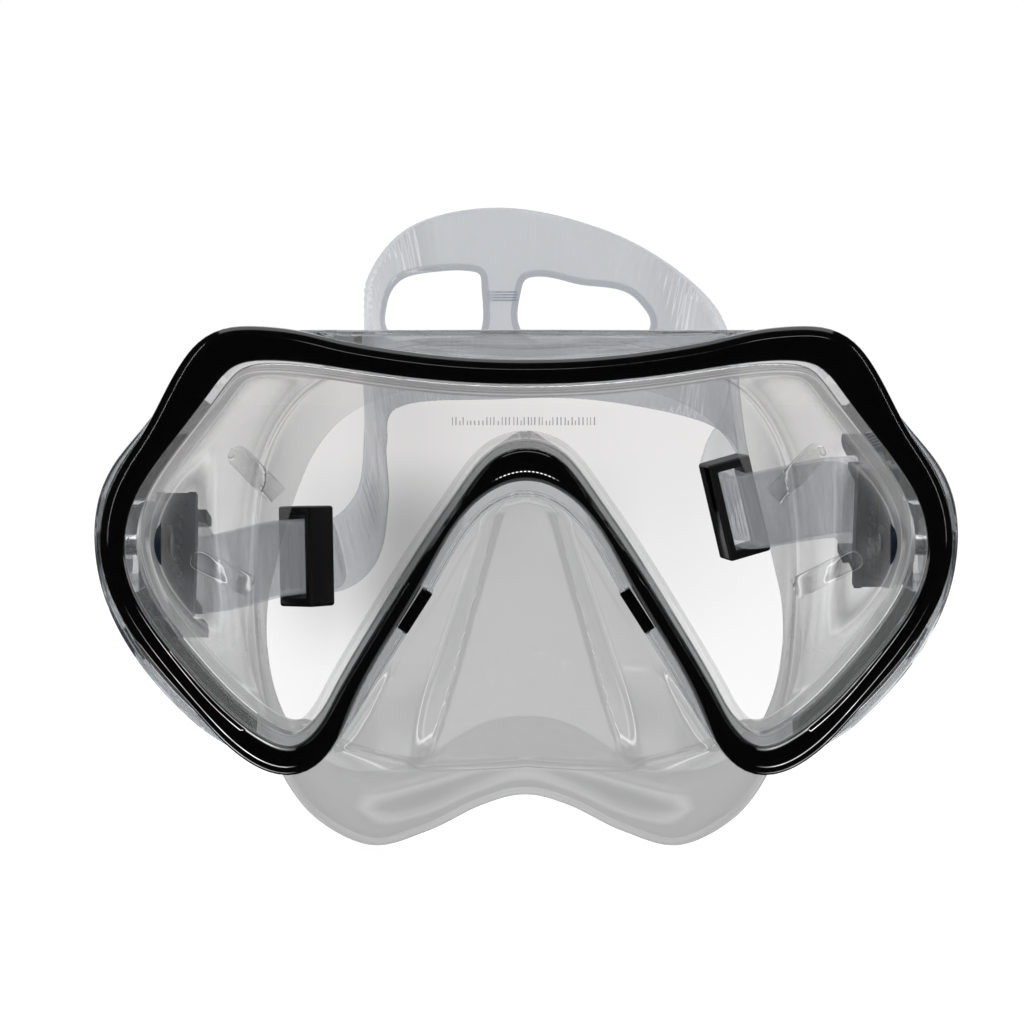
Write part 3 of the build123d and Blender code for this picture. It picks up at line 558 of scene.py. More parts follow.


# the bezel carries painted highlight lines: emission, not reflections
M_BEZEL = plastic("bezel_gloss_black", (0.0035, 0.0035, 0.0038), (0.002, 0.002, 0.0022), 0.10, 0.06, 900.0, 0.03, coat=0.6, spec=0.5, wear=0.10, painted_strip_highlights=True)
M_KEEPER = plastic("keeper_satin_black", (0.010, 0.010, 0.011), (0.006, 0.006, 0.007), 0.38, 0.16, 1500.0, 0.30, spec=0.45)
M_SLATE = plastic("buckle_slate", (0.018, 0.034, 0.062), (0.011, 0.022, 0.042), 0.36, 0.14, 1300.0, 0.25, spec=0.5, wear=0.35)
M_ROLLER = plastic("roller_dark", (0.020, 0.026, 0.036), (0.012, 0.016, 0.024), 0.26, 0.10, 1100.0, 0.12, spec=0.5)
M_STEEL = metal("pin_steel")
M_SKIRT = clear_soft("skirt_silicone", (0.985, 0.985, 0.985), (0.975, 0.975, 0.975), (0.0135, 0.020, -0.034, -0.004), 0.70, (0.10, 0.62), rough=0.14, glow=0.45, lines=0.34, spark=0.34)
M_STRAP = clear_soft("strap_silicone", (0.97, 0.975, 0.985), (0.965, 0.97, 0.98), (0.150, 0.118, -1.0, -0.9), 0.78, (0.22, 0.56), rough=0.18, scatter=(0.47, 0.485, 0.505), glow=0.48, lines=0.12, spark=0.15)
M_LIP = clear_soft("skirt_lip_silicone", (0.985, 0.985, 0.985), (0.985, 0.985, 0.985), None, 0.60, (0.10, 0.10), rough=0.10)
M_LEAF = clear_soft("skirt_rib_silicone", (0.99, 0.99, 0.99), (0.99, 0.99, 0.99), None, 0.45, (0.03, 0.03), rough=0.10, gloss=0.7, gloss_max=0.12, lines=0.4, spark=0.5)
M_PC = clear_hard("clear_polycarbonate")
M_LENS = lens_material("toughened_glass")


# ==================================================================== bezel
def kind_b():
    """1 where the bezel's face is rounded (lower corners and nose notch), 0 where it is flat with a chamfer."""
    z = OP[:, 1]
    s = np.minimum(np.arange(N), N - np.arange(N)) / (N / 2.0)
    f = sstep(s, 0.50, 0.60)
    return f


def lerp_profile(A, B, f):
    return [((1 - f) * a[0] + f * b[0], (1 - f) * a[1] + f * b[1]) for a, b in zip(A, B)]


def build_bezel():
    w = WB
    o = np.ones(N)
    A = [(0 * o, -0.02), (0 * o, -1.35), (.18 * o, -1.85), (.55 * o, -2.13), (1.1 * o, -2.2), (w - 2.1, -2.2), (w - 1.9, -2.17), (w - .42, -1.12), (w - .12, -.82), (w, -.35), (w, 4.2), (w - .25, 4.45), (1.85 * o, 4.45), (1.75 * o, -.02)]
    B = [(0 * o, -0.02), (0 * o, -.95), (.25 * o, -1.5), (.75 * o, -1.95), (.33 * w, -2.18), (.5 * w, -2.2), (.68 * w, -1.98), (.85 * w, -1.42), (.95 * w, -.75), (w, .2), (w, 4.2), (w - .25, 4.45), (1.85 * o, 4.45), (1.75 * o, -.02)]
    prof = lerp_profile(A, B, kind_b())
    ob = ring_mesh("bezel_shell", [at(r, y) for r, y in prof], sharp_deg=30.0)
    parts = [ob]
    for s in (-1, 1):
        m = Matrix.Translation((s * 22.05, 6.3, -11.75)) @ Matrix.Rotation(math.radians(s * 57.5), 4, "Y")
        b = box_obj("hook", (9.5, 8.2, 2.35), m)
        bevel(b, 0.35, 3)
        parts.append(b)
        for k in (-1, 1):
            mm = Matrix.Translation((s * 22.05, 2.1, -11.75)) @ Matrix.Rotation(math.radians(s * 57.5), 4, "Y") @ Matrix.Translation((k * 2.9, 0, 0))
            r = box_obj("hookrib", (0.55, 0.6, 1.9), mm)
            bevel(r, 0.15, 2)
            parts.append(r)
        for x, z, a in [(75.4, -17.0, -58.0), (67.0, 35.5, 57.7)]:
            m = Matrix.Translation((s * x, 6.9, z)) @ Matrix.Rotation(math.radians(s * a), 4, "Y")
            b = box_obj("sidehook", (6.2, 6.6, 1.15), m)
            bevel(b, 0.2, 2)
            parts.append(b)
    return join("mask_bezel", parts)


def join(name, parts):
    """Merges parts into one mesh, each keeping its own materials."""
    mats = []
    bm = bmesh.new()
    for p in parts:
        remap = []
        for m in p.data.materials:
            if m not in mats:
                mats.append(m)
            remap.append(mats.index(m))
        tmp = bmesh.new()
        tmp.from_mesh(p.data)
        if remap:
            for f in tmp.faces:
                f.material_index = remap[min(f.material_index, len(remap) - 1)]
        me = bpy.data.meshes.new("tmp")
        tmp.to_mesh(me)
        tmp.free()
        bm.from_mesh(me)
        bpy.data.meshes.remove(me)
    me = bpy.data.meshes.new(name)
    bm.to_mesh(me)
    bm.free()
    for m in mats:
        me.materials.append(m)
    ob = bpy.data.objects.new(name, me)
    bpy.context.scene.collection.objects.link(ob)
    for p in parts:
        bpy.data.objects.remove(p)
    return ob


# ===================================================================== lens
def build_lens():
    loops = [at(-0.15, 0.0), at(0.9, 0.28), at(1.45, 0.5), at(1.5, 3.1), at(1.1, 3.5)]
    n = N
    verts = np.vstack(loops)
    faces = []
    for j in range(len(loops) - 1):
        for i in range(n):
            k = (i + 1) % n
            faces.append((j * n + i, j * n + k, (j + 1) * n + k, (j + 1) * n + i))
    faces.append(tuple(range(n))[::-1])
    faces.append(tuple(range((len(loops) - 1) * n, len(loops) * n)))
    ob = make("mask_lens", verts, faces, sharp_deg=15.0)
    add_mat(ob, M_LENS)
    return ob


def build_etch():
    """A frosted row of plain tick marks along the top edge of the glass, with no letters."""
    rng = np.random.RandomState(7)
    parts = []
    x = -14.6
    verts, faces = [], []
    while x < 13.8:
        wd = 0.16 + 0.10 * rng.rand()
        ht = 1.6 if rng.rand() > 0.35 else 0.9
        b = len(verts)
        z0 = 26.0 - 0.8
        for xx in (x, x + wd):
            for zz in (z0, z0 + ht):
                for yy in (-0.012, -0.004):
                    verts.append((xx, yy, zz))
        faces += [(b + 0, b + 1, b + 3, b + 2), (b + 4, b + 6, b + 7, b + 5), (b + 0, b + 4, b + 5, b + 1), (b + 2, b + 3, b + 7, b + 6), (b + 0, b + 2, b + 6, b + 4), (b + 1, b + 5, b + 7, b + 3)]
        x += wd + 0.35 + 0.35 * rng.rand()
    return make("lens_tick_marks", np.array(verts), faces, smooth=False)


# ============================================================== inner frame
def build_frame():
    d = WF - WB
    m = sstep(d, 0.7, 1.9)
    o = np.ones(N)
    lip = np.clip(0.5 * d, 0.3, 1.15)
    y_rim = 4.6 - 3.2 * m
    fl = 4.9 - 1.0 * m
    prof = [(-0.9 * o, 8.8), (1.75 * o, 8.8), (1.75 * o, 4.65), (np.minimum(WB + .10, WF - lip - .40), 4.65), (np.minimum(WB + .22, WF - lip - .25), fl), (WF - lip - .12 * m, fl), (WF - lip + 0.02, fl - .35 * m), (WF - lip + .06, y_rim + .35), (WF - lip * .72, y_rim + .02), (WF - lip * .40, y_rim), (WF - lip * .12, y_rim + .30), (WF, y_rim + .95),
            (WF, 11.7), (WF - .25, 12.35), (WF - .8, 12.6), (-0.6 * o, 12.6), (-0.9 * o, 12.3)]
    ob = ring_mesh("frame_shell", [at(r, np.broadcast_to(y, (N,))) for r, y in prof], sharp_deg=32.0)
    for s in (-1, 1):
        m4 = Matrix.Translation((s * 22.05, 6.5, -11.75)) @ Matrix.Rotation(math.radians(s * 57.5), 4, "Y")
        boolean(ob, box_obj("w", (9.75, 14.0, 2.6), m4), "DIFFERENCE")
        for x, z, a in [(75.4, -17.0, -58.0), (67.0, 35.5, 57.7)]:
            m4 = Matrix.Translation((s * x, 8.6, z)) @ Matrix.Rotation(math.radians(s * a), 4, "Y")
            boolean(ob, box_obj("w", (7.0, 9.0, 1.7), m4), "DIFFERENCE")
        # lug for the buckle's pivot
        pts = []
        for k in range(0, 25):
            a = math.radians(-90 + 180 * k / 24)
            pts.append((0, 24.0 + 8.8 * math.cos(a), 8.8 * math.sin(a)))
        pts = [(0, 11.6, -8.8)] + pts + [(0, 11.6, 8.8)]
        pts = np.array(pts) + [s * 78.2, 0, 0]
        lug = prism("lug", pts, (s * 3.0, 0, 0))
        hole = prism("h", np.array([(s * 77.0, 24 + 2.02 * math.cos(t), 2.02 * math.sin(t)) for t in np.linspace(0, 2 * math.pi, 32, endpoint=False)]), (s * 6.0, 0, 0))
        boolean(lug, hole, "DIFFERENCE")
        boolean(ob, lug, "UNION")
    bm = bmesh.new()
    bm.from_mesh(ob.data)
    bmesh.ops.remove_doubles(bm, verts=bm.verts, dist=1e-7)
    finish_bm(bm, True, 32.0)
    bm.to_mesh(ob.data)
    bm.free()
    ob.name = "mask_inner_frame"
    add_mat(ob, M_PC)
    return ob


# ==================================================================== skirt
FACE_R, FACE_Y, FACE_TILT = 105.0, 34.0, math.radians(5.0)


def y_face(x, z):
    x = np.clip(x, -95, 95)
    return FACE_Y + FACE_R - np.sqrt(FACE_R**2 - x**2) + (20.0 - z) * math.tan(FACE_TILT)


NOSE_A = lambda z: np.clip(5.1 + 0.276 * (9.5 - z), 0.6, 22.0)
CREASE_X = [0, 10, 19.5, 30, 37.6, 44.0]
CREASE_Z = [-42.2, -42.9, -43.5, -42.0, -40.6, -38.6]
CREASE_Y = [-1.5, -1.2, 0.6, 4.2, 8.6, 13.2]


def flank_x(z):
    """Half width of the frame's notch at height z."""
    f = np.array(FRAME[28:])
    return np.interp(z, f[::-1, 1][::-1][::-1], f[::-1, 0]) if False else np.interp(z, f[:, 1], f[:, 0])


def nose_height(x, z):
    ax = np.abs(x)
    a = NOSE_A(z)
    yf = np.interp(z, [-44, -36, -24, -10, 0, 9.5, 13, 22], [-1.4, -2.2, -0.6, 2.0, 4.5, 7.0, 9.5, 13.1])
    yf = yf + 0.9 * (ax / a) ** 2
    ridge = 0.75 * np.exp(-(((ax - a) / 0.6) ** 2)) * sstep(z, -46, -38)
    yv = np.interp(z, [-50, -26, 12, 22], [12.3, 12.3, 12.3, 13.1])
    yc = np.interp(ax, CREASE_X, CREASE_Y)
    wv = sstep(-z, 22.0, 41.0)
    yv = yv * (1 - wv) + yc * wv
    ws = np.clip(0.22 * a + 1.6, 1.5, 5.0)
    side = sstep(ax, a + 0.15, a + ws)
    y = (yf - ridge) * (1 - side) + yv * side
    # wrinkles across the panel
    ins = 1 - sstep(ax, a - 1.4, a - 0.5)
    for zc, amp in ((-21.3, 0.55), (-29.3, 0.5)):
        zz = zc + 1.5 * np.cos(np.clip(x / 11.5, -1, 1) * math.pi) - 0.6
        y = y - amp * ins * (np.exp(-(((z - zz) / 0.42) ** 2)) + 0.8 * np.exp(-(((z - zz + 1.7) / 0.42) ** 2)))
    # lower arch of the nostril pocket
    arch = -32.4 - 6.6 * (np.clip(ax, 0, 19) / 17.5) ** 2.0
    y = y - 0.55 * (1 - sstep(ax, a - 0.8, a + 0.6)) * np.exp(-(((z - arch) / 0.6) ** 2))
    xf = np.interp(z, np.array(FRAME[28:])[:, 1], np.array(FRAME[28:])[:, 0])
    under = sstep(ax, xf - 2.0, xf - 0.2) * sstep(z, -41.5, -38.0)
    top = sstep(z, 9.8, 12.0)
    u = np.maximum(under, top)
    return y * (1 - u) + 13.15 * u


def cup_at(half, k):
    """Point of a half outline at index parameter k (0 at the top centre, 17 below the nose)."""
    h = np.array(half, float)
    ext = np.vstack([h[1:2] * [-1, 1], h, h[-2:-1] * [-1, 1]])
    k = np.clip(k, 0, len(h) - 1)
    i = np.clip(np.floor(k).astype(int), 0, len(h) - 2)
    s = (k - i)[:, None]
    p0, p1, p2, p3 = ext[i], ext[i + 1], ext[i + 2], ext[i + 3]
    return 0.5 * ((2 * p1) + (-p0 + p2) * s + (2 * p0 - 5 * p1 + 4 * p2 - p3) * s**2 + (-p0 + 3 * p1 - 3 * p2 + p3) * s**3)


def build_skirt():
    # ---- the front ring: behind the opening's sides, then along the crease under the nose
    neck = OP - ON * 1.0
    half_n = N // 2
    corner = int(np.argmin(neck[:half_n, 1] + 0.25 * neck[:half_n, 0]))           # lower right corner
    corner = int(np.argmin(np.abs(neck[:half_n, 0] - 45.5) + (neck[:half_n, 1] > -20) * 99))
    outer = neck[:corner + 1]
    cf = np.array(CUP_FRONT[:14], float)
    dense_k = np.linspace(0, 13, 1301)
    dense_p = cup_at(CUP_FRONT, dense_k)
    kk = np.array([dense_k[np.argmin(((dense_p - p) ** 2).sum(1))] for p in outer])
    kk = np.maximum.accumulate(kk)
    kk = np.interp(np.arange(len(kk)), np.arange(len(kk)), kk)
    w = 9
    ker = np.ones(w) / w
    pad = np.r_[np.full(w // 2, kk[0]) - np.arange(w // 2, 0, -1) * (kk[1] - kk[0]), kk, np.full(w // 2, kk[-1])]
    kk = np.convolve(pad, ker, "valid")
    kk[0] = 0
    n_crease = 70
    cx = np.linspace(outer[-1, 0] - 0.6, 0, n_crease)
    cz = np.interp(cx, CREASE_X, CREASE_Z)
    cy = np.interp(cx, CREASE_X, CREASE_Y)
    # ease the crease's start into the corner
    e = sstep(np.linspace(0, 1, n_crease), 0, 0.14)
    cz = outer[-1, 1] * (1 - e) + cz * e
    for arr in (cz, cy):
        for _ in range(6):
            arr[1:-1] = 0.25 * arr[:-2] + 0.5 * arr[1:-1] + 0.25 * arr[2:]
    ck = np.interp(cx, [0, 8, 18, 30, 44.9], [17, 16, 15, 14, 13])
    F = np.vstack([np.c_[outer[:, 0], np.full(len(outer), 13.1), outer[:, 1]], np.c_[cx, cy, cz]])
    K = np.r_[kk, ck]
    K = np.maximum.accumulate(K)
    for _ in range(12):
        K[1:-1] = 0.25 * K[:-2] + 0.5 * K[1:-1] + 0.25 * K[2:]
    M2 = cup_at(CUP_MID, K)
    R2 = cup_at(CUP_REAR, K)
    I2 = cup_at(FACE_IN, K)
    n1 = len(F)
    F2 = F[:, [0, 2]]
    rows = []
    thick = []
    ym = np.full(n1, 27.0)
    yr = y_face(R2[:, 0], R2[:, 1])
    # section curve F -> M -> R, leaving the frame straight back
    under = sstep(K, 13.2, 14.5)                     # columns that start on the crease
    P0 = F
    P1 = np.c_[F2[:, 0] * (1 - under * 0.0), F[:, 1] + 1.6 + 1.9 * under, F2[:, 1] - under * 0.9]
    Pm = np.c_[M2[:, 0], ym, M2[:, 1]]
    fr = (36.5 - 27.0) / np.maximum(yr - 27.0, 4.0)
    P3 = np.c_[(M2 + (R2 - M2) * 0.80)[:, 0], 27.0 + (yr - 27.0) * 0.52, (M2 + (R2 - M2) * 0.80)[:, 1]]
    lean = 0.5
    P4 = np.c_[R2[:, 0], yr - 3.4, R2[:, 1]]
    P5 = np.c_[(R2 + (I2 - R2) / np.linalg.norm(I2 - R2, axis=1)[:, None] * 0.9)[:, 0], yr - 0.8, (R2 + (I2 - R2) / np.linalg.norm(I2 - R2, axis=1)[:, None] * 0.9)[:, 1]]
    q6 = R2 + (I2 - R2) / np.linalg.norm(I2 - R2, axis=1)[:, None] * 3.6
    P6 = np.c_[q6[:, 0], y_face(q6[:, 0], q6[:, 1]) - 0.2, q6[:, 1]]
    keys = [P0, P1, Pm, P3, P4, P5, P6]
    tk = [2.0, 2.0, 2.0, 1.9, 1.6, 1.4, 1.2]
    key = np.array(keys)                             # (7, n1, 3)
    seg = [3, 6, 4, 4, 3, 3]
    for s in range(6):
        for j in range(seg[s]):
            u = s + j / seg[s]
            ext = np.concatenate([2 * key[:1] - key[1:2], key, 2 * key[-1:] - key[-2:-1]])
            t = j / seg[s]
            p0, p1, p2, p3 = ext[s], ext[s + 1], ext[s + 2], ext[s + 3]
            # chord-length aware tangents stop overshoot at the fold
            d01 = np.linalg.norm(p1 - p0, axis=1)[:, None] + 1e-6
            d12 = np.linalg.norm(p2 - p1, axis=1)[:, None] + 1e-6
            d23 = np.linalg.norm(p3 - p2, axis=1)[:, None] + 1e-6
            m1 = ((p1 - p0) / d01 * d12 + (p2 - p1) / d12 * d01) / (d01 + d12) * d12
            m2 = ((p2 - p1) / d12 * d23 + (p3 - p2) / d23 * d12) / (d12 + d23) * d12
            rows.append((2 * t**3 - 3 * t**2 + 1) * p1 + (t**3 - 2 * t**2 + t) * m1 + (-2 * t**3 + 3 * t**2) * p2 + (t**3 - t**2) * m2)
            thick.append(tk[s] + (tk[min(s + 1, 6)] - tk[s]) * t)
    # flange over the face surface
    nf = 9
    for j in range(nf + 1):
        t = j / nf
        q = q6 + (I2 - q6) * t
        rows.append(np.c_[q[:, 0], y_face(q[:, 0], q[:, 1]) - 0.2 - 0.5 * math.sin(t * math.pi) * 0, q[:, 1]])
        thick.append(1.2 - 0.75 * t)
    rows = np.array(rows)                            # (rows, n1, 3), right half incl. centre columns
    nr = len(rows)
    left = rows[:, ::-1][:, 1:-1] * [-1, 1, 1]
    ring = np.concatenate([rows, left], axis=1)      # closed ring of columns
    nc = ring.shape[1]
    verts = list(ring.reshape(-1, 3))
    vthick = list(np.repeat(thick, nc))
    faces = []
    for j in range(nr - 1):
        for i in range(nc):
            k = (i + 1) % nc
            faces.append((j * nc + i, j * nc + k, (j + 1) * nc + k, (j + 1) * nc + i))
    # ---- the front panel between the notch flanks
    # flank columns of the neck from the corner up to the apex
    fl = neck[corner:half_n + 1]                     # right side: corner -> apex
    fine_u = np.linspace(0, len(fl) - 1, int(len(fl) * 1.6))
    fl = np.stack([np.interp(fine_u, np.arange(len(fl)), fl[:, c]) for c in (0, 1)], 1)
    m = len(fl)
    nu = 141                                         # odd: a column on the centre line
    us = np.linspace(-1, 1, nu)
    # the rows near the corner bend down towards the crease; the bottom row is bridged to the crease ring below
    base = len(verts)
    grid = np.zeros((m, 2 * n_crease + 1 if False else nu), int)
    z_bot = np.interp(np.abs(us) * fl[0, 0], CREASE_X, CREASE_Z)
    for a in range(m - 1, -1, -1):
        zf, xf = fl[a, 1], fl[a, 0]
        if a == m - 1:
            xf = 0.0
        v = 1 - a / (m - 1.0)                        # 0 at the apex, 1 at the corner
        g = sstep(np.array([1 - (a / (m - 1.0))]), 0.62, 1.0)[0]
        x = us * xf
        zz = zf + (np.interp(np.abs(x), CREASE_X, CREASE_Z) - zf) * g * (1 - np.abs(us) ** 6) if xf > 0 else np.full(nu, zf)
        y = nose_height(x, zz)
        y = y * (1 - np.abs(us) ** 14) + 13.1 * np.abs(us) ** 14
        for b in range(nu):
            grid[a, b] = len(verts)
            verts.append((x[b], y[b], zz[b]))
            vthick.append(1.9)
    for a in range(m - 1):
        for b in range(nu - 1):
            faces.append((grid[a, b], grid[a, b + 1], grid[a + 1, b + 1], grid[a + 1, b]))
    # bridge the panel's last row to the crease ring
    row = [grid[0, b] for b in range(nu)]            # left to right
    V = np.array(verts)
    cr = []                                          # crease ring columns, left to right
    start = corner
    right_idx = list(range(corner, n1))              # right corner -> centre
    left_idx = [nc - i for i in range(corner, n1)]   # matching left columns
    left_idx = [i % nc for i in left_idx]
    order = left_idx + right_idx[::-1][1:]
    # zip the two polylines by x
    i = j = 0
    while i < len(row) - 1 or j < len(order) - 1:
        xi = V[row[i + 1], 0] if i < len(row) - 1 else 1e9
        xj = V[order[j + 1], 0] if j < len(order) - 1 else 1e9
        if xi <= xj:
            faces.append((row[i], row[i + 1], order[j]))
            i += 1
        else:
            faces.append((row[i], order[j + 1], order[j]))
            j += 1
    me = bpy.data.meshes.new("skirt_sheet")
    me.from_pydata([tuple(float(c) * MM for c in v) for v in verts], [], [tuple(int(q) for q in f) for f in faces])
    ob = bpy.data.objects.new("mask_skirt", me)
    bpy.context.scene.collection.objects.link(ob)
    vg = ob.vertex_groups.new(name="thick")
    for i, t in enumerate(vthick):
        vg.add([i], min(1.0, t / 2.0), "REPLACE")
    bm = bmesh.new()
    bm.from_mesh(me)
    bmesh.ops.remove_doubles(bm, verts=bm.verts, dist=2e-5)
    bmesh.ops.recalc_face_normals(bm, faces=bm.faces)
    # outward = away from the head
    c = Vector((0, 30 * MM, 0))
    s = sum((f.calc_center_median() - c).dot(f.normal) * f.calc_area() for f in bm.faces)
    if s < 0:
        bmesh.ops.reverse_faces(bm, faces=bm.faces)
    for _ in range(3):
        bmesh.ops.smooth_vert(bm, verts=[v for v in bm.verts if not v.is_boundary], factor=0.35, use_axis_x=True, use_axis_y=True, use_axis_z=True)
    bm.to_mesh(me)
    bm.free()
    mod = ob.modifiers.new("s", "SOLIDIFY")
    mod.thickness = 2.0 * MM
    mod.offset = -1.0
    mod.vertex_group = "thick"
    mod.thickness_vertex_group = 0.0
    mod.use_even_offset = False
    mod.use_rim = True
    apply_modifiers(ob)
    bm = bmesh.new()
    bm.from_mesh(ob.data)
    finish_bm(bm, True, 50.0)
    bm.to_mesh(ob.data)
    bm.free()
    add_mat(ob, M_SKIRT)
    return ob


def build_lip():
    """The bead that seals the glass, with the soft edge that shows inside the opening."""
    x, z = OP[:, 0], OP[:, 1]
    side = np.exp(-(((z + 6.0) / 13.0) ** 2)) * sstep(np.abs(x), 66, 76)
    top = sstep(z, 26, 33) * 0.5
    r_in = -(1.5 + 1.7 * side + 0.7 * top)
    o = np.ones(N)
    prof = [(1.55 * o, 3.60), (0.6 * o, 3.56), (r_in + 1.2, 3.58), (r_in + 0.45, 3.75), (r_in + 0.08, 4.2), (r_in, 5.0), (r_in - 0.1, 9.0), (np.minimum(r_in - 0.1, -2.9), 12.8), (-1.05 * o, 12.9), (-0.98 * o, 8.65), (1.35 * o, 8.65), (1.6 * o, 8.3), (1.6 * o, 3.9)]
    ob = ring_mesh("mask_skirt_lip", [at(r, y) for r, y in prof], sharp_deg=50.0)
    add_mat(ob, M_LIP)
    return ob


# ==================================================================== strap
PIVOT_Y, BUCKLE_X = 24.0, 74.5
ROLLER_R, ROLLER_U, ROLLER_W = 3.0, 22.0, -0.7
STRAP_W, STRAP_T, WRAP_GAP = 17.0, 2.3, 0.25
TILT_LEFT, TILT_RIGHT = -16.0, 12.0
R_WRAP = ROLLER_R + WRAP_GAP + STRAP_T / 2


def unit(v):
    v = np.array(v, float)
    return v / np.linalg.norm(v)


def buckle_point(side, tilt, u, w):
    a = np.radians(tilt)
    return np.array([side * (BUCKLE_X + w), PIVOT_Y + u * np.cos(a), u * np.sin(a)])


def width_dir(tilt):
    a = np.radians(tilt)
    return np.array([0.0, -np.sin(a), np.cos(a)])


def strap_path():
    KL, KLT = np.array([-48.8, 79.0, -7.5]), unit((0.62, 0.78, 0.0))
    KR, KRT = np.array([47.3, 85.0, 3.0]), unit((-0.26, 0.965, 0.03))
    KLW, KRW = unit((-0.06, 0.0, 1.0)), unit((-0.24, -0.06, 0.97))
    left0 = buckle_point(-1, TILT_LEFT, ROLLER_U, ROLLER_W - R_WRAP)
    right0 = buckle_point(1, TILT_RIGHT, ROLLER_U, ROLLER_W - R_WRAP)
    uL = np.array([0, np.cos(np.radians(TILT_LEFT)), np.sin(np.radians(TILT_LEFT))])
    uR = np.array([0, np.cos(np.radians(TILT_RIGHT)), np.sin(np.radians(TILT_RIGHT))])
    main = [
        (left0, width_dir(TILT_LEFT), STRAP_W),
        (left0 + uL * 12.0 + [1.3, 0, 0], width_dir(TILT_LEFT), STRAP_W),
        (KL - KLT * 10.0, KLW, STRAP_W), (KL, KLW, STRAP_W), (KL + KLT * 10.0, KLW, STRAP_W),
        (np.array([-37.0, 98.0, -2.0]), unit((-0.12, -0.20, 1.0)), 18.0),
        (np.array([-35.5, 112.0, 10.5]), unit((-0.16, -0.42, 1.0)), 21.0),
        (np.array([-36.6, 128.0, 27.0]), unit((-0.10, -0.34, 1.0)), 29.0),
        (np.array([-35.2, 144.5, 40.2]), unit((-0.04, -0.16, 1.0)), 37.0),
        (np.array([-24.5, 159.0, 48.2]), unit((0.0, -0.08, 1.0)), 46.5),
        (np.array([-6.0, 167.0, 51.0]), unit((0.0, -0.06, 1.0)), 50.0),
        (np.array([15.0, 167.5, 48.6]), unit((0.0, -0.06, 1.0)), 45.6),
        (np.array([34.0, 160.0, 42.4]), unit((-0.04, -0.10, 1.0)), 38.5),
        (np.array([47.5, 146.0, 34.8]), unit((-0.10, -0.18, 1.0)), 31.5),
        (np.array([52.6, 128.0, 25.6]), unit((-0.14, -0.30, 1.0)), 25.5),
        (np.array([51.4, 113.0, 16.6]), unit((-0.20, -0.26, 1.0)), 20.5),
        (np.array([46.4, 102.5, 8.6]), unit((-0.24, -0.14, 1.0)), 18.0),
        (KR + KRT * 10.0, KRW, STRAP_W), (KR, KRW, STRAP_W), (KR - KRT * 10.0, KRW, STRAP_W),
        (right0 + uR * 11.0 + [-1.2, 0, 0], width_dir(TILT_RIGHT), STRAP_W),
        (right0, width_dir(TILT_RIGHT), STRAP_W),
    ]
    rows = np.array([np.r_[p, w, [wd]] for p, w, wd in main])
    return rows, KL, KR


def catmull(rows, n_sub):
    p = np.array(rows, float)
    d = np.linalg.norm(np.diff(p[:, :3], axis=0), axis=1) ** 0.5
    t = np.r_[0, np.cumsum(d)]
    m = np.zeros_like(p)
    m[0] = (p[1] - p[0]) / (t[1] - t[0])
    m[-1] = (p[-1] - p[-2]) / (t[-1] - t[-2])
    for i in range(1, len(p) - 1):
        a = (p[i] - p[i - 1]) / (t[i] - t[i - 1])
        b = (p[i + 1] - p[i]) / (t[i + 1] - t[i])
        wa, wb = t[i + 1] - t[i], t[i] - t[i - 1]
        m[i] = (a * wa + b * wb) / (wa + wb)
    out = []
    for i in range(len(p) - 1):
        h = t[i + 1] - t[i]
        for k in range(n_sub):
            s = k / n_sub
            out.append((2 * s**3 - 3 * s**2 + 1) * p[i] + (s**3 - 2 * s**2 + s) * h * m[i] + (-2 * s**3 + 3 * s**2) * p[i + 1] + (s**3 - s**2) * h * m[i + 1])
    out.append(p[-1])
    return np.array(out)


def frames(pts, wdir):
    t = np.gradient(pts, axis=0)
    t /= np.linalg.norm(t, axis=1)[:, None]
    w = wdir - (wdir * t).sum(1)[:, None] * t
    w /= np.linalg.norm(w, axis=1)[:, None]
    return t, w, np.cross(t, w)


def resample(P, step):
    L = np.r_[0, np.cumsum(np.linalg.norm(np.diff(P[:, :3], axis=0), axis=1))]
    n = max(2, int(round(L[-1] / step)))
    want = np.linspace(0, L[-1], n + 1)
    return np.stack([np.interp(want, L, P[:, c]) for c in range(P.shape[1])], 1), want


HOLES = [[(-33.4, 42.8), (-34.7, 44.4), (-34.9, 49.5), (-33.8, 53.6), (-31.2, 56.9), (-27.5, 58.4), (-22.5, 59.2), (-13.4, 59.4), (-11.2, 58.6), (-10.7, 56.2), (-10.7, 44.4), (-11.4, 42.8), (-14.0, 42.2), (-24.0, 42.0)],
         [(-0.4, 44.2), (-0.4, 54.6), (0.6, 57.2), (3.4, 58.1), (15.1, 56.0), (28.4, 53.1), (31.4, 50.0), (33.2, 46.6), (32.4, 43.4), (29.0, 42.2), (14.0, 42.0), (1.2, 42.4)]]


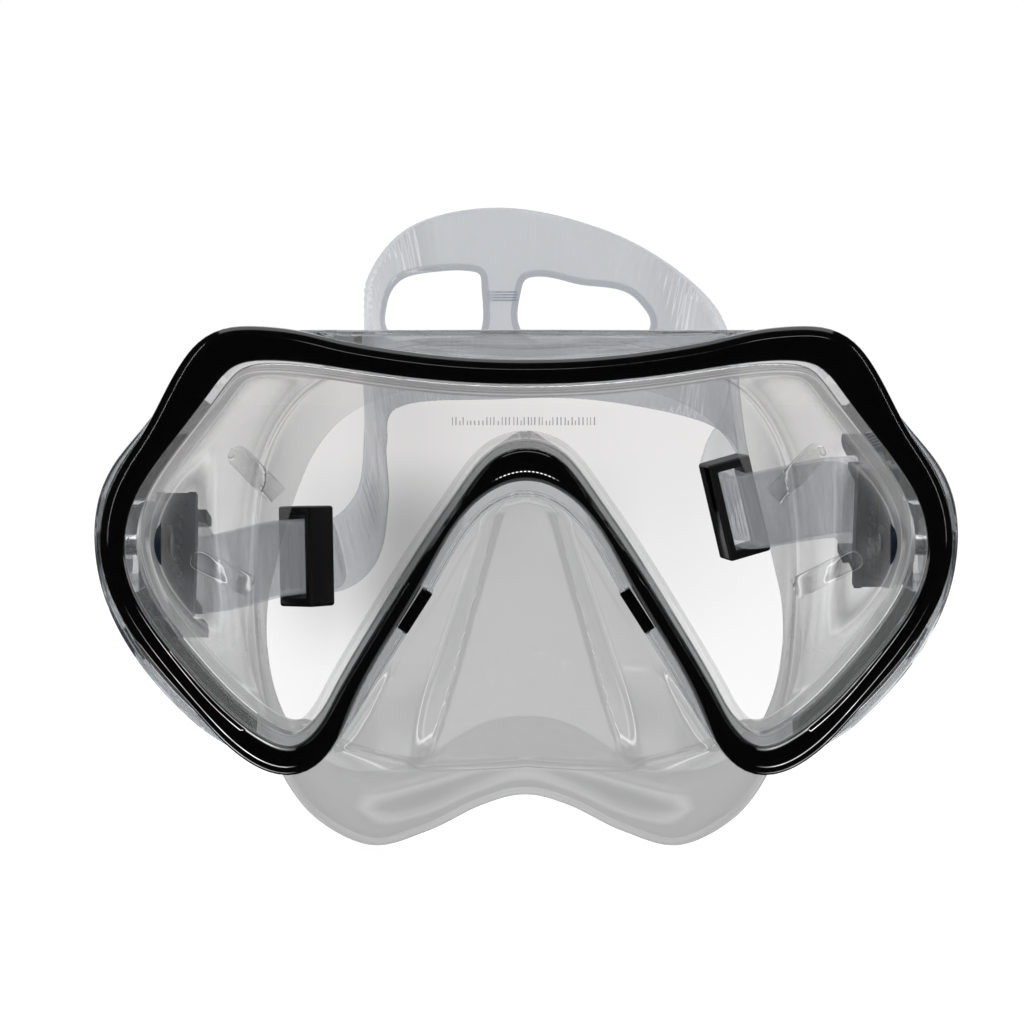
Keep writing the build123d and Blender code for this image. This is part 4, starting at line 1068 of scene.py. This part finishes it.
def build_strap():
    rows, KL, KR = strap_path()
    n_sub = 9
    path = catmull(rows, n_sub)
    coarse = catmull(rows, 3)
    T, W, NN = frames(path[:, :3], path[:, 3:6])
    c0 = np.array([2.0, 95.0, 15.0])
    if np.dot(NN[len(NN) // 2], path[len(path) // 2, :3] - c0) < 0:
        NN = -NN

    def tail(side):
        lim = 15 * n_sub // 3
        idx = list(range(0, lim)) if side < 0 else list(range(len(path) - 1, len(path) - 1 - lim, -1))
        p = path[idx, :3]
        s = np.r_[0, np.cumsum(np.linalg.norm(np.diff(p, axis=0), axis=1))]
        keep = KL if side < 0 else KR
        s_keep = s[np.argmin(np.linalg.norm(p - keep, axis=1))]
        f = np.clip(s / (s_keep - 12.0), 0, 1)
        f = f * f * (3 - 2 * f)
        gap = 2 * R_WRAP + (STRAP_T + 0.35 - 2 * R_WRAP) * f
        q = p + NN[idx] * gap[:, None]
        use = s < s_keep + 13.0
        return q[use], W[idx][use]

    def wrap(side, tilt):
        return np.array([buckle_point(side, tilt, ROLLER_U - R_WRAP * np.sin(a), ROLLER_W - R_WRAP * np.cos(a)) for a in np.pi * np.arange(1, 24) / 24])

    qL, wL = tail(-1)
    qR, wR = tail(1)
    wrL, wrR = wrap(-1, TILT_LEFT), wrap(1, TILT_RIGHT)
    pts = np.vstack([qL[::-1], wrL[::-1], path[:, :3], wrR, qR])
    wds = np.vstack([wL[::-1], np.tile(width_dir(TILT_LEFT), (len(wrL), 1)), path[:, 3:6], np.tile(width_dir(TILT_RIGHT), (len(wrR), 1)), wR])
    wid = np.r_[np.full(len(qL) + len(wrL), STRAP_W), path[:, 6], np.full(len(qR) + len(wrR), STRAP_W)]
    P, s = resample(np.c_[pts, wds, wid], 0.42)
    T, W, Nn = frames(P[:, :3], P[:, 3:6])
    Nn = Nn * np.sign(np.dot(Nn[len(Nn) // 2], P[len(P) // 2, :3] - c0))
    wid = P[:, 6]
    # section: outward face carries cross ribs on the arms; the pad is plain with a raised border
    n_out = 13
    tt = np.linspace(-1, 1, n_out)
    arm = 1 - sstep(wid, 18.5, 23.0)
    pitch = 3.2
    rib = 0.5 + 0.5 * np.tanh(4.0 * np.sin(2 * math.pi * s / pitch))
    t_end = np.minimum(s, s[-1] - s)
    taper = sstep(t_end, 0.0, 1.6)
    rings = []
    half = STRAP_T / 2
    for i in range(len(P)):
        b = wid[i] / 2
        if t_end[i] < 3.2:                           # rounded free ends
            b = b - 3.2 + math.sqrt(max(0.0, 3.2**2 - (3.2 - t_end[i]) ** 2)) if t_end[i] < 3.2 else b
        h = half
        ring = []
        for t in tt:                                 # outward face
            edge = 1 - sstep(np.array([abs(t)]), 0.74, 0.80)[0]
            lift = arm[i] * (0.34 * rib[i] * edge) - arm[i] * 0.10 * edge
            border = (1 - arm[i]) * 0.30 * sstep(np.array([abs(t)]), 1 - 5.0 / wid[i], 1 - 3.8 / wid[i])[0]
            ring.append(P[i, :3] + W[i] * (t * (b - 0.55)) + Nn[i] * (h - 0.18 + lift + border * 0.6))
        ring.append(P[i, :3] + W[i] * (b - 0.16) + Nn[i] * (h - 0.36))
        ring.append(P[i, :3] + W[i] * b + Nn[i] * (h - 0.85))
        ring.append(P[i, :3] + W[i] * b - Nn[i] * (h - 0.75))
        ring.append(P[i, :3] + W[i] * (b - 0.16) - Nn[i] * (h - 0.22))
        for t in tt[::-1]:
            ring.append(P[i, :3] + W[i] * (t * (b - 0.55)) - Nn[i] * h)
        ring.append(P[i, :3] - W[i] * (b - 0.16) - Nn[i] * (h - 0.22))
        ring.append(P[i, :3] - W[i] * b - Nn[i] * (h - 0.75))
        ring.append(P[i, :3] - W[i] * b + Nn[i] * (h - 0.85))
        ring.append(P[i, :3] - W[i] * (b - 0.16) + Nn[i] * (h - 0.36))
        rings.append(ring)
    rings = np.array(rings)
    m, n = rings.shape[:2]
    faces = []
    for j in range(m - 1):
        for i in range(n):
            k = (i + 1) % n
            faces.append((j * n + i, j * n + k, (j + 1) * n + k, (j + 1) * n + i))
    faces.append(tuple(range(n))[::-1])
    faces.append(tuple(range((m - 1) * n, m * n)))
    ob = make("strap_band", rings.reshape(-1, 3), faces, sharp_deg=42.0)
    # the two windows of the split pad, cut through and rimmed
    base = BVHTree.FromObject(ob, bpy.context.evaluated_depsgraph_get())
    rims = []
    for hole in HOLES:
        h = closed_spline(np.array(hole, float), 110)
        cut = prism("cut", np.c_[h[:, 0], np.full(len(h), 130.0), h[:, 1]], (0, 70.0, 0))
        for sgn in (1, -1):                          # raised rim on both faces
            loop, nrm = [], []
            for x, z in h:
                o = Vector((x * MM, (210.0 if sgn > 0 else 110.0) * MM, z * MM))
                hit = base.ray_cast(o, Vector((0, -sgn, 0)))
                if hit[0] is None:
                    continue
                loop.append(np.array(hit[0]) / MM)
                nrm.append(np.array(hit[1]))
            loop, nrm = np.array(loop), np.array(nrm)
            if len(loop) < 40:
                continue
            t = np.roll(loop, -1, 0) - np.roll(loop, 1, 0)
            t /= np.linalg.norm(t, axis=1)[:, None]
            sidev = np.cross(t, nrm)
            cen = loop.mean(0)
            if ((loop - cen) * sidev).sum() < 0:
                sidev = -sidev
            prof = [(0.0, -0.25), (0.05, 0.22), (0.40, 0.42), (1.15, 0.42), (1.55, 0.20), (1.75, -0.25)]
            rims.append(ring_mesh("rim", [loop + sidev * a + nrm * b for a, b in prof], sharp_deg=40.0))
        boolean(ob, cut, "DIFFERENCE")
    bm = bmesh.new()
    bm.from_mesh(ob.data)
    finish_bm(bm, True, 42.0)
    bm.to_mesh(ob.data)
    bm.free()
    ob = join("mask_strap", [ob] + rims)
    add_mat(ob, M_STRAP)
    return ob


# ================================================================= hardware
def from_cad(node, name, width, segments, mat, deg=32.0, sharp_deg=40.0):
    """A finished copy of a CAD node: merged, cleaned and with every edge softly broken."""
    src = NODES[node]
    me = src.data.copy()
    me.transform(src.matrix_world)
    ob = bpy.data.objects.new(name, me)
    bpy.context.scene.collection.objects.link(ob)
    ob.modifiers.clear()
    bm = bmesh.new()
    bm.from_mesh(me)
    bmesh.ops.remove_doubles(bm, verts=bm.verts, dist=2e-6)
    bmesh.ops.dissolve_limit(bm, angle_limit=math.radians(1.2), verts=bm.verts, edges=bm.edges)
    bm.to_mesh(me)
    bm.free()
    if width > 0:
        bevel(ob, width, segments, deg=deg, sharp_deg=sharp_deg)
    else:
        bm = bmesh.new()
        bm.from_mesh(me)
        finish_bm(bm, True, sharp_deg)
        bm.to_mesh(me)
        bm.free()
    add_mat(ob, mat)
    return ob


def local_box(side, tilt, u, v, w, su, sv, sw, wid=0.2, segs=2):
    """A small bevelled block in a buckle's own axes (u rearwards, v up, w outwards)."""
    rot = Matrix.Rotation(math.radians(tilt), 4, "X")
    m = Matrix.Translation((0, PIVOT_Y, 0)) @ rot @ Matrix.Translation((side * (BUCKLE_X + w), u, v))
    b = box_obj("blk", (sw, su, sv), m)
    if wid:
        bevel(b, wid, segs)
    return b


# ================================================================= assembly
SIDES = {"left": (-1, TILT_LEFT), "right": (1, TILT_RIGHT)}


def place(ob, body, slot, *nodes):
    if nodes:
        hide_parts(*nodes)
    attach(ob, body)
    return ob


CAM_D, CAM_EL = 500.0, math.radians(4.0)
CAM_T = np.array([-2.8, 0.0, 8.1])
CAM_P = CAM_T + CAM_D * np.array([0.0, -math.cos(CAM_EL), math.sin(CAM_EL)])

bezel = build_bezel()
add_mat(bezel, M_BEZEL)
place(bezel, "mask", "bezel_black", "bezel")
lens = build_lens()
place(lens, "mask", "lens_glass", "lens")
inner = build_frame()
place(inner, "mask", "clear_polycarbonate", "inner_frame")
skirt = build_skirt()
place(skirt, "mask", "clear_silicone", "skirt")
lip = build_lip()
place(lip, "mask", "clear_silicone", "skirt")


def leaf(name, base, tip, half_w, bvh):
    """A finger-shaped stiffening rib moulded on the inside of the cup's side wall."""
    base, tip = np.array(base, float), np.array(tip, float)
    d = tip - base
    L = np.linalg.norm(d)
    d /= L
    nrm2 = np.array([-d[1], d[0]])
    nt, nu = 26, 11
    top, bot = [], []
    for i in range(nt):
        t = i / (nt - 1)
        s = t * L
        w = half_w
        if L - s < half_w:
            w = half_w * math.sqrt(max(0.0, 1 - ((half_w - (L - s)) / half_w) ** 2))
        w = max(w, 0.05)
        for j in range(nu):
            u = -1 + 2 * j / (nu - 1)
            a = base + d * s + nrm2 * (u * w)
            o = Vector(CAM_P * MM)
            p = Vector((a[0] * MM, 0, a[1] * MM))
            dr = (p - o).normalized()
            org = o
            hit = None
            for _ in range(12):
                h = bvh.ray_cast(org, dr)
                if h[0] is None:
                    break
                if h[0].y > 14.5 * MM:
                    hit = h
                    break
                org = h[0] + dr * 1e-5
            if hit is None:
                return None
            n = Vector(hit[1])
            if n.dot(dr) > 0:
                n = -n
            lift = 0.85 * (1 - abs(u) ** 4) * (0.35 + 0.65 * sstep(np.array([s]), 0.0, 2.5)[0])
            q = np.array(hit[0]) / MM
            n = np.array(n)
            top.append(q + n * lift)
            bot.append(q - n * 0.25)
    verts = np.array(top + bot)
    faces = []
    k = nt * nu
    for i in range(nt - 1):
        for j in range(nu - 1):
            a = i * nu + j
            faces.append((a, a + 1, a + nu + 1, a + nu))
            faces.append((k + a, k + a + nu, k + a + nu + 1, k + a + 1))
    border = [j for j in range(nu)] + [i * nu + nu - 1 for i in range(1, nt)] + [(nt - 1) * nu + j for j in range(nu - 2, -1, -1)] + [i * nu for i in range(nt - 2, 0, -1)]
    for a, b in zip(border, border[1:] + border[:1]):
        faces.append((a, b, k + b, k + a))
    return make(name, verts, faces, sharp_deg=60.0)


skirt_bvh = BVHTree.FromObject(skirt, bpy.context.evaluated_depsgraph_get())
LEAVES = [("upper_left", (-49.0, 11.2), (-57.9, 20.5)), ("lower_left", (-54.4, -6.7), (-66.2, -0.5)), ("upper_right", (48.7, 11.2), (58.3, 21.0)), ("lower_right", (53.0, -7.1), (66.3, -0.5))]
for tag, b, t in LEAVES:
    lf = leaf("skirt_leaf_" + tag, b, t, 2.15, skirt_bvh)
    if lf:
        add_mat(lf, M_LEAF)
        place(lf, "mask", "clear_silicone", "skirt")

etch = build_etch()
M_ETCH = NT("frosted_mark")
_e = M_ETCH.n("ShaderNodeBsdfDiffuse", Color=(0.55, 0.56, 0.58, 1)).outputs[0]
_t = M_ETCH.n("ShaderNodeBsdfTransparent", Color=(0.95, 0.95, 0.95, 1)).outputs[0]
_n = M_ETCH.math("MULTIPLY_ADD", M_ETCH.noise(2500.0, 2.0, 0.5), 0.5, 0.25)
M_ETCH = M_ETCH.done(M_ETCH.mix_shader(_n, _t, _e))
add_mat(etch, M_ETCH)
place(etch, "mask", "lens_glass")

strap = build_strap()
place(strap, "strap", "strap_silicone", "strap")
# the moulded grip bar across the pad's middle bridge
M_BAR = clear_soft("strap_bar_silicone", (0.90, 0.92, 0.95), (0.90, 0.92, 0.95), None, 0.70, (0.42, 0.42), rough=0.2, scatter=(0.30, 0.33, 0.37), glow=0.45, lines=0.3, spark=0.1)
bars = []
for q in range(4):
    m = Matrix.Translation((-5.5, 165.62, 51.9 + 0.72 * q))
    b = box_obj("bar", (8.2 - 0.3 * (q % 2), 0.55, 0.42), m)
    bevel(b, 0.12, 2)
    bars.append(b)
bar = join("strap_bridge_bar", bars)
add_mat(bar, M_BAR)
place(bar, "strap", "strap_silicone")

for tag, (side, tilt) in SIDES.items():
    body = from_cad(f"buckle_body_{tag}", f"buckle_{tag}_body", 0.32, 2, M_SLATE)
    # moulded ribs either side of the thumb recess, four short ribs further back and a row of seven teeth on the inboard
    # side
    extra = []
    for v in (-7.4, 7.4):
        extra.append(local_box(side, tilt, 8.8, v, 3.62, 6.0, 0.9, 0.5, 0.2))
    for v in (-4.2, -1.4, 1.4, 4.2):
        extra.append(local_box(side, tilt, 11.5, v, 2.55, 4.4, 0.7, 0.5, 0.18))
    for q in range(7):
        extra.append(local_box(side, tilt, 8.0, -7.2 + 2.4 * q, -1.75, 6.5, 1.1, 1.1, 0.2))
    body = join(f"buckle_{tag}_shell", [body] + extra)
    body.name = f"buckle_{tag}_body"
    add_mat(body, M_SLATE)
    place(body, f"buckle_{tag}", "buckle_slate", f"buckle_body_{tag}")
    for lv in ("upper", "lower"):
        tab = from_cad(f"release_tab_{lv}_{tag}", f"buckle_{tag}_{lv}_tab", 0.22, 2, M_SLATE)
        place(tab, f"{lv}_tab_{tag}", "buckle_slate", f"release_tab_{lv}_{tag}")
    # roller with fine grip flutes
    a0 = math.radians(tilt)
    nz, nth = 24, 96
    loops = []
    L = 17.5
    ax_o = np.array([side * (BUCKLE_X + ROLLER_W), PIVOT_Y + ROLLER_U * math.cos(a0), ROLLER_U * math.sin(a0)])
    ex, ez = np.array([1.0, 0, 0]), np.array([0, -math.sin(a0), math.cos(a0)])
    ey = np.cross(ez, ex)
    th = np.linspace(0, 2 * math.pi, nth, endpoint=False)
    def rloop(r, v):
        r = np.broadcast_to(r, th.shape)
        return ax_o + np.outer(r * np.cos(th), ex) + np.outer(r * np.sin(th), ey) + ez * v
    flute = ROLLER_R - 0.10 + 0.10 * np.tanh(2.5 * np.cos(th * 16))
    loops = [rloop(1.26, -L / 2), rloop(ROLLER_R - 0.5, -L / 2), rloop(ROLLER_R - 0.1, -L / 2 + 0.3), rloop(ROLLER_R, -L / 2 + 1.2), rloop(flute, -L / 2 + 1.7), rloop(flute, L / 2 - 1.7), rloop(ROLLER_R, L / 2 - 1.2), rloop(ROLLER_R - 0.1, L / 2 - 0.3), rloop(ROLLER_R - 0.5, L / 2), rloop(1.26, L / 2)]
    n = nth
    verts = np.vstack(loops)
    faces = []
    for j in range(len(loops)):
        b2 = (j + 1) % len(loops)
        for i in range(n):
            k = (i + 1) % n
            faces.append((j * n + i, j * n + k, b2 * n + k, b2 * n + i))
    roller = make(f"buckle_{tag}_roller", verts, faces, sharp_deg=35.0)
    add_mat(roller, M_ROLLER)
    place(roller, f"roller_{tag}", "roller_dark", f"strap_roller_{tag}")
    axle = from_cad(f"roller_axle_{tag}", f"buckle_{tag}_axle", 0.15, 2, M_STEEL)
    place(axle, f"buckle_{tag}", "steel", f"roller_axle_{tag}")
    pins = from_cad(f"tab_pins_{tag}", f"buckle_{tag}_tab_pins", 0.12, 2, M_STEEL)
    place(pins, f"buckle_{tag}", "steel", f"tab_pins_{tag}")
    pin = from_cad(f"pivot_pin_{tag}", f"pivot_{tag}_pin", 0.3, 3, M_STEEL)
    place(pin, "mask", "steel", f"pivot_pin_{tag}")
    cap = from_cad(f"pivot_cap_{tag}", f"pivot_{tag}_cap", 0.25, 3, M_KEEPER)
    place(cap, "mask", "keeper_black", f"pivot_cap_{tag}")
    keeper = from_cad(f"strap_keeper_{tag}", f"strap_{tag}_keeper", 0.35, 3, M_KEEPER)
    place(keeper, f"keeper_{tag}", "keeper_black", f"strap_keeper_{tag}")

# =============================================================== the studio
lo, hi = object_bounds()
floor_z = float(lo[2]) - 0.0006
fv, ff = [], []
nx, ny = 40, 60
for j in range(ny + 1):
    for i in range(nx + 1):
        fv.append(((i / nx - 0.5) * 5000, -1500 + j / ny * 5000, floor_z / MM))
for j in range(ny):
    for i in range(nx):
        a = j * (nx + 1) + i
        ff.append((a, a + 1, a + nx + 2, a + nx + 1))
floor = make("studio_floor", np.array(fv), ff, smooth=False)
t = NT("studio_white")
mot = t.noise(4.0, 3.0, 0.5)
col = t.mix_rgb(mot, (0.86, 0.86, 0.865, 1), (0.90, 0.90, 0.90, 1))
dif = t.n("ShaderNodeBsdfDiffuse", Color=col).outputs[0]
emi = t.n("ShaderNodeEmission", Color=(1, 1, 1, 1), Strength=0.82).outputs[0]
soft_dif = t.n("ShaderNodeBsdfDiffuse", Color=t.mix_rgb(mot, (0.42, 0.42, 0.422, 1), (0.45, 0.45, 0.45, 1))).outputs[0]
add_sh = t.n("ShaderNodeAddShader")
t.link(soft_dif, add_sh.inputs[0])
t.link(emi, add_sh.inputs[1])
lpn = t.n("ShaderNodeLightPath")
dim = t.n("ShaderNodeEmission", Color=(0.5, 0.5, 0.51, 1), Strength=0.02).outputs[0]
plain = t.mix_shader(lpn.outputs["Is Camera Ray"], t.mix_shader(lpn.outputs["Is Glossy Ray"], dif, dim), add_sh.outputs[0])
add_mat(floor, t.done(plain))

scene = bpy.context.scene
world = bpy.data.worlds.new("studio")
scene.world = world
world.use_nodes = True
wt = world.node_tree
wt.nodes.clear()
wo = wt.nodes.new("ShaderNodeOutputWorld")
bg_cam = wt.nodes.new("ShaderNodeBackground")
bg_cam.inputs[0].default_value = (1, 1, 1, 1)
bg_cam.inputs[1].default_value = 1.02
tc = wt.nodes.new("ShaderNodeTexCoord")
sp = wt.nodes.new("ShaderNodeSeparateXYZ")
wt.links.new(tc.outputs["Generated"], sp.inputs[0])
mul = wt.nodes.new("ShaderNodeMath")
mul.operation = "MULTIPLY_ADD"
wt.links.new(sp.outputs[1], mul.inputs[0])
mul.inputs[1].default_value = 0.5
mul.inputs[2].default_value = 0.5


def env(stops, strength):
    """Background whose brightness depends on direction along Y (0 in front of the mask, 1 behind it)."""
    rp = wt.nodes.new("ShaderNodeValToRGB")
    wt.links.new(mul.outputs[0], rp.inputs[0])
    els = rp.color_ramp.elements
    while len(els) > 1:
        els.remove(els[-1])
    for i, (pos, v) in enumerate(stops):
        el = els[0] if i == 0 else els.new(pos)
        el.position = pos
        el.color = (v, v, v * 1.01, 1)
    bg = wt.nodes.new("ShaderNodeBackground")
    wt.links.new(rp.outputs[0], bg.inputs[0])
    bg.inputs[1].default_value = strength
    return bg


bg_dif = env([(0.0, 0.10), (0.45, 0.25), (0.75, 0.75), (1.0, 0.9)], 1.0)
bg_gls = env([(0.0, 0.006), (0.50, 0.012), (0.62, 0.10), (0.80, 0.9)], 1.0)
bg_trn = env([(0.0, 0.03), (0.35, 0.12), (0.60, 0.65), (0.80, 1.0)], 1.0)
lp = wt.nodes.new("ShaderNodeLightPath")


def wmix(fac, a, b):
    m = wt.nodes.new("ShaderNodeMixShader")
    wt.links.new(fac, m.inputs[0])
    wt.links.new(a.outputs[0], m.inputs[1])
    wt.links.new(b.outputs[0], m.inputs[2])
    return m


w1 = wmix(lp.outputs["Is Glossy Ray"], bg_dif, bg_gls)
w2 = wmix(lp.outputs["Is Transmission Ray"], w1, bg_trn)
w3 = wmix(lp.outputs["Is Camera Ray"], w2, bg_cam)
wt.links.new(w3.outputs[0], wo.inputs[0])


def area(name, loc, target, size, size_y, energy, spread=180.0):
    d = bpy.data.lights.new(name, "AREA")
    d.shape = "RECTANGLE"
    d.size, d.size_y = size, size_y
    d.energy = energy
    d.spread = math.radians(spread)
    o = bpy.data.objects.new(name, d)
    scene.collection.objects.link(o)
    o.location = loc
    v = Vector(target) - Vector(loc)
    o.rotation_euler = v.to_track_quat("-Z", "Y").to_euler()
    return o


area("top_soft", (0.0, 0.10, 0.85), (0, 0.05, 0), 0.9, 0.7, 3.0)
area("left_strip", (-0.75, -0.45, 0.30), (0, 0.02, 0), 0.012, 0.8, 0.35)
area("right_strip", (0.80, -0.35, 0.25), (0, 0.02, 0), 0.012, 0.8, 0.30)
area("front_soft", (0.25, -1.3, 0.9), (0, 0, 0), 0.5, 0.35, 2.0)

cam_d = bpy.data.cameras.new("camera")
cam_d.lens = 89.2
cam_d.sensor_width = 36.0
cam_d.clip_start = 0.01
cam_d.clip_end = 20
cam = bpy.data.objects.new("camera", cam_d)
scene.collection.objects.link(cam)
cam.location = Vector(CAM_P * MM)
look = Vector(CAM_T * MM) - cam.location
cam.rotation_euler = look.to_track_quat("-Z", "Y").to_euler()
scene.camera = cam

scene.view_settings.view_transform = "Standard"
scene.view_settings.look = "None"
scene.cycles.transparent_max_bounces = 40
scene.cycles.max_bounces = 16
scene.cycles.transmission_bounces = 14
scene.cycles.glossy_bounces = 6
scene.cycles.caustics_refractive = False
scene.cycles.caustics_reflective = False
scene.cycles.sample_clamp_indirect = 6.0
